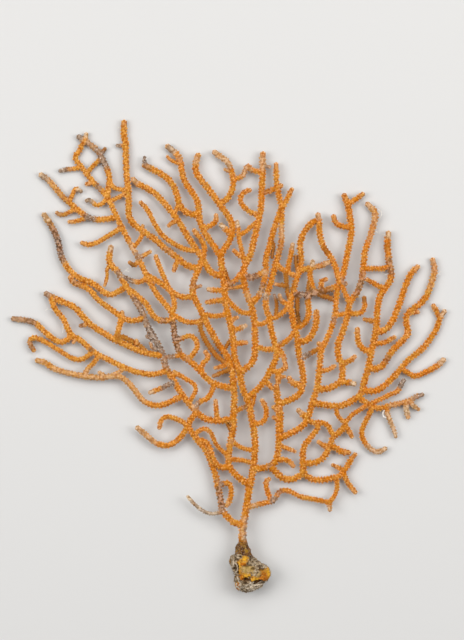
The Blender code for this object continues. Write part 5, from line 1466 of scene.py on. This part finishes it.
grow_limb("right_middle_limb", {
    "main": bridge(
        LIMB, (278.5, 438), (286, 434.8), (293, 431.5), (300, 427.3), (305, 422.5), (308, 416),
        (310.3, 408), (312.5, 400), (315.7, 391), (317.7, 381), (318.7, 372), (319.8, 360), (320.5, 351),
        (324, 344), (328, 335), (331.3, 327), (334, 317), (335.3, 308), (335.7, 299), (337.5, 287.5),
        tip=TWIG,
    ),
    "left_club": shoot(BRANCH, (307.5, 418), (303, 415), (298.8, 410.8)),
    "right_stub": shoot(SPRIG, (318.7, 370.5), (325, 370.3), (329.5, 368.7), (333.5, 366.3)),
    "grey_link": bridge(TWIG, (322.5, 347), (316.5, 349.7), (310, 353), (305, 356), (299.5, 358.5)),
    "bump": shoot(TWIG, (322.5, 347), (319, 344)),
}, {
    "grey": ((306, 355, 5, 0.9), (301, 357, 4, 0.9), (334, 320, 4, 0.5)),
    "mauve": ((300, 358, 4, 0.5),),
    "brown": ((308, 354, 4, 0.5), (314, 350, 4, 0.5)),
    "pale": ((299, 411, 4, 0.5),),
})
grow_limb("right_inner_limb", {
    "main": shoot(
        LIMB, (316, 388.5), (324, 389), (330.5, 387.3), (336, 384.3), (340.8, 380.5), (342, 372),
        (341.8, 364.5), (338.5, 358), (337.2, 350), (338, 342), (341, 335), (343.5, 327.5), (346, 319.5),
        (347.8, 312), (348.8, 304), (351.5, 299), (356, 293.5), (359.5, 285), (362, 276), (363, 268),
        (363.7, 259), (364.7, 251), (367, 243.5), (370, 236), (372.3, 228), (374.5, 219), (375, 213),
        (372, 208.3), (368, 204.5), tip=BRANCH,
    ),
    "low_club": shoot(BRANCH, (340, 381.5), (347, 382), (353, 383.5)),
    "curl": shoot(TWIG, (341.5, 363.5), (346, 361.8), (350.5, 360), (353.7, 357)),
    "strand_to_pink": bridge(TWIG, (349, 302.5), (346, 296), (343.7, 290.5), (341, 284)),
    "rung_left": bridge(SPRIG, (348, 312), (341, 314.3), (334.5, 314.5)),
    "rung_right": shoot(TWIG, (347.8, 313), (356, 313.5), (361.5, 311.8), (364.3, 306), (363.8, 298.5)),
}, {
    "mauve": ((357, 292, 5, 0.6), (360, 284, 6, 0.7), (362, 275, 5, 0.5)),
    "brown": ((363.8, 299, 4, 0.6),),
    "pale": ((353, 384, 4, 0.8), (370, 206, 6, 0.4), (374, 219, 8, 0.35), (370, 235, 9, 0.25)),
})
grow_limb("right_outer_limb", {
    "main": shoot(
        LIMB, (312, 403), (321, 404), (328, 405.3), (335, 405.8), (342, 405.3), (348, 402.5), (354, 399),
        (360, 394.5), (362.5, 387), (364.5, 379), (367, 371.5), (368.7, 363), (370.5, 354), (372.5, 345),
        (374.8, 334), (376.2, 323), (376.8, 312), (378, 302), (381, 293.5), (386, 286.5), (390, 280),
        (391, 272.5), (389, 263), (387.8, 253), (387, 243), (388, 234),
    ),
    "left_curl": shoot(
        BRANCH, (371.3, 350.5), (366, 350.5), (361, 347.3), (358, 342), (357, 335), (357, 330),
    ),
    "left_stub": shoot(SPRIG, (376, 321.5), (370, 320.5), (364.7, 319.3)),
    "right_stub": shoot(TWIG, (373, 343), (380, 343.2), (386, 341.5), (393.3, 337.5)),
    "high_rung": bridge(TWIG, (390, 266), (382, 268.3), (375, 268.3), (363, 268.3)),
    "slanting_stub": shoot(TWIG, (384.5, 289), (377, 285.3), (372, 282.3), (367.5, 279.8)),
}, {
    "mauve": ((390, 261, 5, 0.6), (391, 270, 5, 0.7)),
    "brown": ((368, 320, 6, 0.3), (388, 246, 5, 0.3)),
    "pale": ((388, 235, 4, 0.7),),
})

# The right edge: three curved branches, and below them one with thin bleached twigs, a
# hook and the fine links that join it to the ring.
grow_limb("far_right_upper", {
    "main": shoot(
        LIMB, (375, 332), (381, 331.3), (386.5, 328.3), (391, 322.5), (394.5, 315.5), (397.3, 308.5),
        (400, 301), (402.5, 293.5), (405.3, 285.5), (408, 278.5), (411.5, 272.5), (416.8, 267.3),
        tip=BRANCH,
    ),
})
grow_limb("far_right_middle", {
    "main": shoot(
        LIMB, (368, 368), (375, 368.7), (380.5, 366.8), (385, 361.8), (388.5, 355.5), (393, 349.5),
        (398.5, 343.8), (404.5, 338), (408, 332.5), (406.3, 325), (405.7, 319), (407.7, 313.3),
        (413, 308.7), (419, 304.3), (424, 299.3), (427.5, 293.3), (430, 287), (432.3, 280), (434, 273),
        (434.5, 267), (432.8, 260.5), tip=BRANCH,
    ),
    "stub": shoot(SPRIG, (408.5, 312.5), (417, 312)),
}, {
    "mauve": ((387, 359, 5, 0.5),),
    "pale": ((433.5, 266, 8, 0.4), (431, 282, 9, 0.25)),
})
grow_limb("far_right_lower", {
    "main": shoot(
        LIMB, (361.5, 390), (370, 391), (377, 390), (383, 386.3), (389, 381), (395, 375), (400.5, 368.5),
        (406, 362), (412, 356.8), (418, 352), (424, 346.5), (429, 340.3), (433, 334), (436.8, 328),
        (438.7, 321.5), (441, 316), (443.8, 312), tip=TWIG,
    ),
    "second_tip": shoot(TWIG, (440, 319), (436.5, 311), (433.8, 306.3)),
    "side_branch": shoot(
        TWIG, (400, 368), (406.5, 371.7), (413, 375.8), (419, 375), (426, 371.7), (433, 368), (439, 364.3),
        (442.8, 360.5), tip=BRANCH,
    ),
}, {
    "pale": ((443, 313, 5, 0.6), (442, 361, 5, 0.6)),
})
grow_limb("low_right_branch", {
    "main": shoot(
        BRANCH, (359, 397.5), (365, 402), (371, 406), (378, 408), (385, 407), (392, 404.7), (399, 403.5),
        (405, 401.7), (411, 399.3), (417, 396.3), (421.3, 394.8), tip=SPRIG,
    ),
    "thin_twig": shoot(
        SPRIG, (369, 404.5), (376, 401), (384, 397.3), (391, 393.7), (397, 391.3), (400.5, 385), (403, 381),
        tip=TWIG,
    ),
    "hanging_twig": shoot(
        TWIG, (386, 407.5), (387, 413), (389.5, 420), (393, 428), (395.3, 435.8), tip=STRAND,
    ),
    "pale_stub": shoot(TWIG, (405.5, 402), (406, 409), (407.7, 416.3)),
    "right_stub": shoot(SPRIG, (409.5, 400.5), (413, 405.5), (417.5, 408.7)),
}, {
    "grey": ((401, 384, 5, 1.0), (403, 381, 4, 1.0), (421, 395, 4, 0.8), (414, 397, 4, 0.5)),
    "mauve": ((418, 396, 5, 0.5),),
    "pale": (
        (406, 410, 6, 0.8), (415, 406, 5, 0.7), (388, 417, 6, 0.6), (391, 425, 6, 0.7), (395, 434, 6, 0.7),
        (396, 404, 9, 0.3), (410, 400, 8, 0.35),
    ),
})
grow_limb("low_right_hook", {
    "main": shoot(
        TWIG, (371.5, 407), (369.3, 413.5), (366, 420), (362.8, 426.5), (361.3, 433), (363, 439.5),
        (367, 445.5), (372, 450), (377, 452), (382, 450.5), (384.3, 449),
    ),
}, {
    "pale": ((370, 448, 6, 0.6), (378, 451, 6, 0.7), (384, 449, 5, 0.7)),
})
grow_limb("right_mesh_links", {
    "main": bridge(
        SPRIG, (336, 404.5), (336.5, 413), (339.5, 418), (344.7, 421.8), (350, 416.3), (356, 411.7),
        (362, 408), (367, 403.5),
    ),
    "lower_end": bridge(SPRIG, (343.4, 419), (345.5, 427.5)),
})

# Clinging threads: bits of fine white hydroid and a small curled worm tube that hang on a few
# twigs. They are the thinnest things on the fan and lie on the rind. Each has its thickness first.
THREAD = 0.00010
COARSE_THREAD = 0.00012
CURLED_THREAD = 0.00014
CURLED_TUBE = 0.00030
THREADS = (
    (COARSE_THREAD, (123, 272.5), (125.5, 270), (128.5, 267.5)),
    (THREAD, (125.5, 270), (127.5, 271.5), (129, 271)),
    (COARSE_THREAD, (375.5, 231), (378, 232.6), (379.5, 232.8)),
    (COARSE_THREAD, (381.5, 233.8), (383.5, 234.3), (386, 235.8)),
    (COARSE_THREAD, (435.5, 277), (438.5, 273.5), (441, 271)),
    (THREAD, (438.5, 273.5), (440.5, 274.5)),
    (THREAD, (44.5, 310.3), (48, 308.8), (52, 310.2), (54, 312)),
    (THREAD, (48, 308.8), (46.5, 307)),
    (COARSE_THREAD, (62, 325.5), (62.6, 329), (62, 333)),
    (CURLED_THREAD, (377.5, 209), (380.2, 210.3), (381.4, 213.2), (380.6, 216.6), (378.3, 219)),
    (THREAD, (143.5, 160), (146.5, 157.5), (148, 157)),
    (THREAD, (117, 128), (119, 126.5), (121, 127)),
    (CURLED_TUBE, (386.5, 409.5), (383.6, 410.6), (382.4, 413.5), (383.4, 416.6), (386, 417.6)),
    (THREAD, (381, 272.3), (385, 274.3), (388, 273.5)),
    (THREAD, (96, 205.5), (97, 202.5), (98.5, 201)),
)
THREAD_LIFT = 0.0004
THREAD_SIDES = 8
THREAD_BEIGE = (0.62, 0.57, 0.50)
THREAD_WHITE = (0.85, 0.82, 0.76)
threads = []
for radius, *points in THREADS:
    route = smooth_route(points)
    line = np.column_stack((route, sheet_height(route[:, 0], route[:, 1]) + THREAD_LIFT))
    skin, *_ = tube_skin(line, np.full((len(line), THREAD_SIDES), radius))
    threads.append(skin)
surface, tree, shader, place = new_surface("chalky_threads", roughness=0.5, specular=0.4)
thread_colour = speckled(tree, place, THREAD_BEIGE, (900.0, 0.40, 0.60, THREAD_WHITE))
tree.links.new(thread_colour, shader.inputs["Base Color"])
make_piece("clinging_threads", gathered(threads), {}, surface, "fan_tissue")

# The studio: a plain pale floor, soft light from both sides as on a copying stand and from
# above, and the camera that looks straight down at the fan.
FLOOR_REACH = 2
FLOOR_LEVEL = -0.0002
FLOOR_GREY = (0.60, 0.59, 0.575)
SOFTBOXES = {
    "left_softbox": ((-0.75, 0.15, 0.85), 0.7),
    "right_softbox": ((0.75, 0.15, 0.85), 0.7),
    "top_softbox": ((0.0, 0.75, 1.1), 0.9),
}
SOFTBOX_POWER = 7.5
DAYLIGHT = (0.95, 0.97, 1.0)
DAYLIGHT_STRENGTH = 0.25
CAMERA_HEIGHT = 1.2
FAN_MEAN_HEIGHT = 0.0035
FRAME_MIDDLE = (231.6, 319.8)
PHOTO_HEIGHT = 640
SENSOR_WIDTH = 36.0
floor_corners = [
    (x * FLOOR_REACH, y * FLOOR_REACH, FLOOR_LEVEL) for x, y in ((-1, -1), (1, -1), (1, 1), (-1, 1))
]
floor_mesh = bpy.data.meshes.new("floor")
floor_mesh.from_pydata(floor_corners, [], [(0, 1, 2, 3)])
floor = bpy.data.objects.new("floor", floor_mesh)
bpy.context.scene.collection.objects.link(floor)
surface, tree, shader, place = new_surface("pale_floor", roughness=0.9, specular=0.2)
shader.inputs["Base Color"].default_value = (*FLOOR_GREY, 1.0)
floor_mesh.materials.append(surface)
for name, (spot, size) in SOFTBOXES.items():
    light = bpy.data.lights.new(name, "AREA")
    light.size = size
    light.energy = SOFTBOX_POWER
    lamp = bpy.data.objects.new(name, light)
    lamp.location = spot
    lamp.rotation_euler = (-Vector(spot)).to_track_quat("-Z", "Y").to_euler()
    bpy.context.scene.collection.objects.link(lamp)
world = bpy.data.worlds.new("studio")
world.use_nodes = True
background = world.node_tree.nodes["Background"]
background.inputs["Color"].default_value = (*DAYLIGHT, 1.0)
background.inputs["Strength"].default_value = DAYLIGHT_STRENGTH
bpy.context.scene.world = world
bpy.context.scene.view_settings.view_transform = "Standard"
lens = bpy.data.cameras.new("camera")
lens.sensor_width = SENSOR_WIDTH
lens.lens = SENSOR_WIDTH * (CAMERA_HEIGHT - FAN_MEAN_HEIGHT) / (PHOTO_HEIGHT * PIXEL)
camera = bpy.data.objects.new("camera", lens)
camera.location = (*ground_point(*FRAME_MIDDLE), CAMERA_HEIGHT)
bpy.context.scene.collection.objects.link(camera)
bpy.context.scene.camera = camera
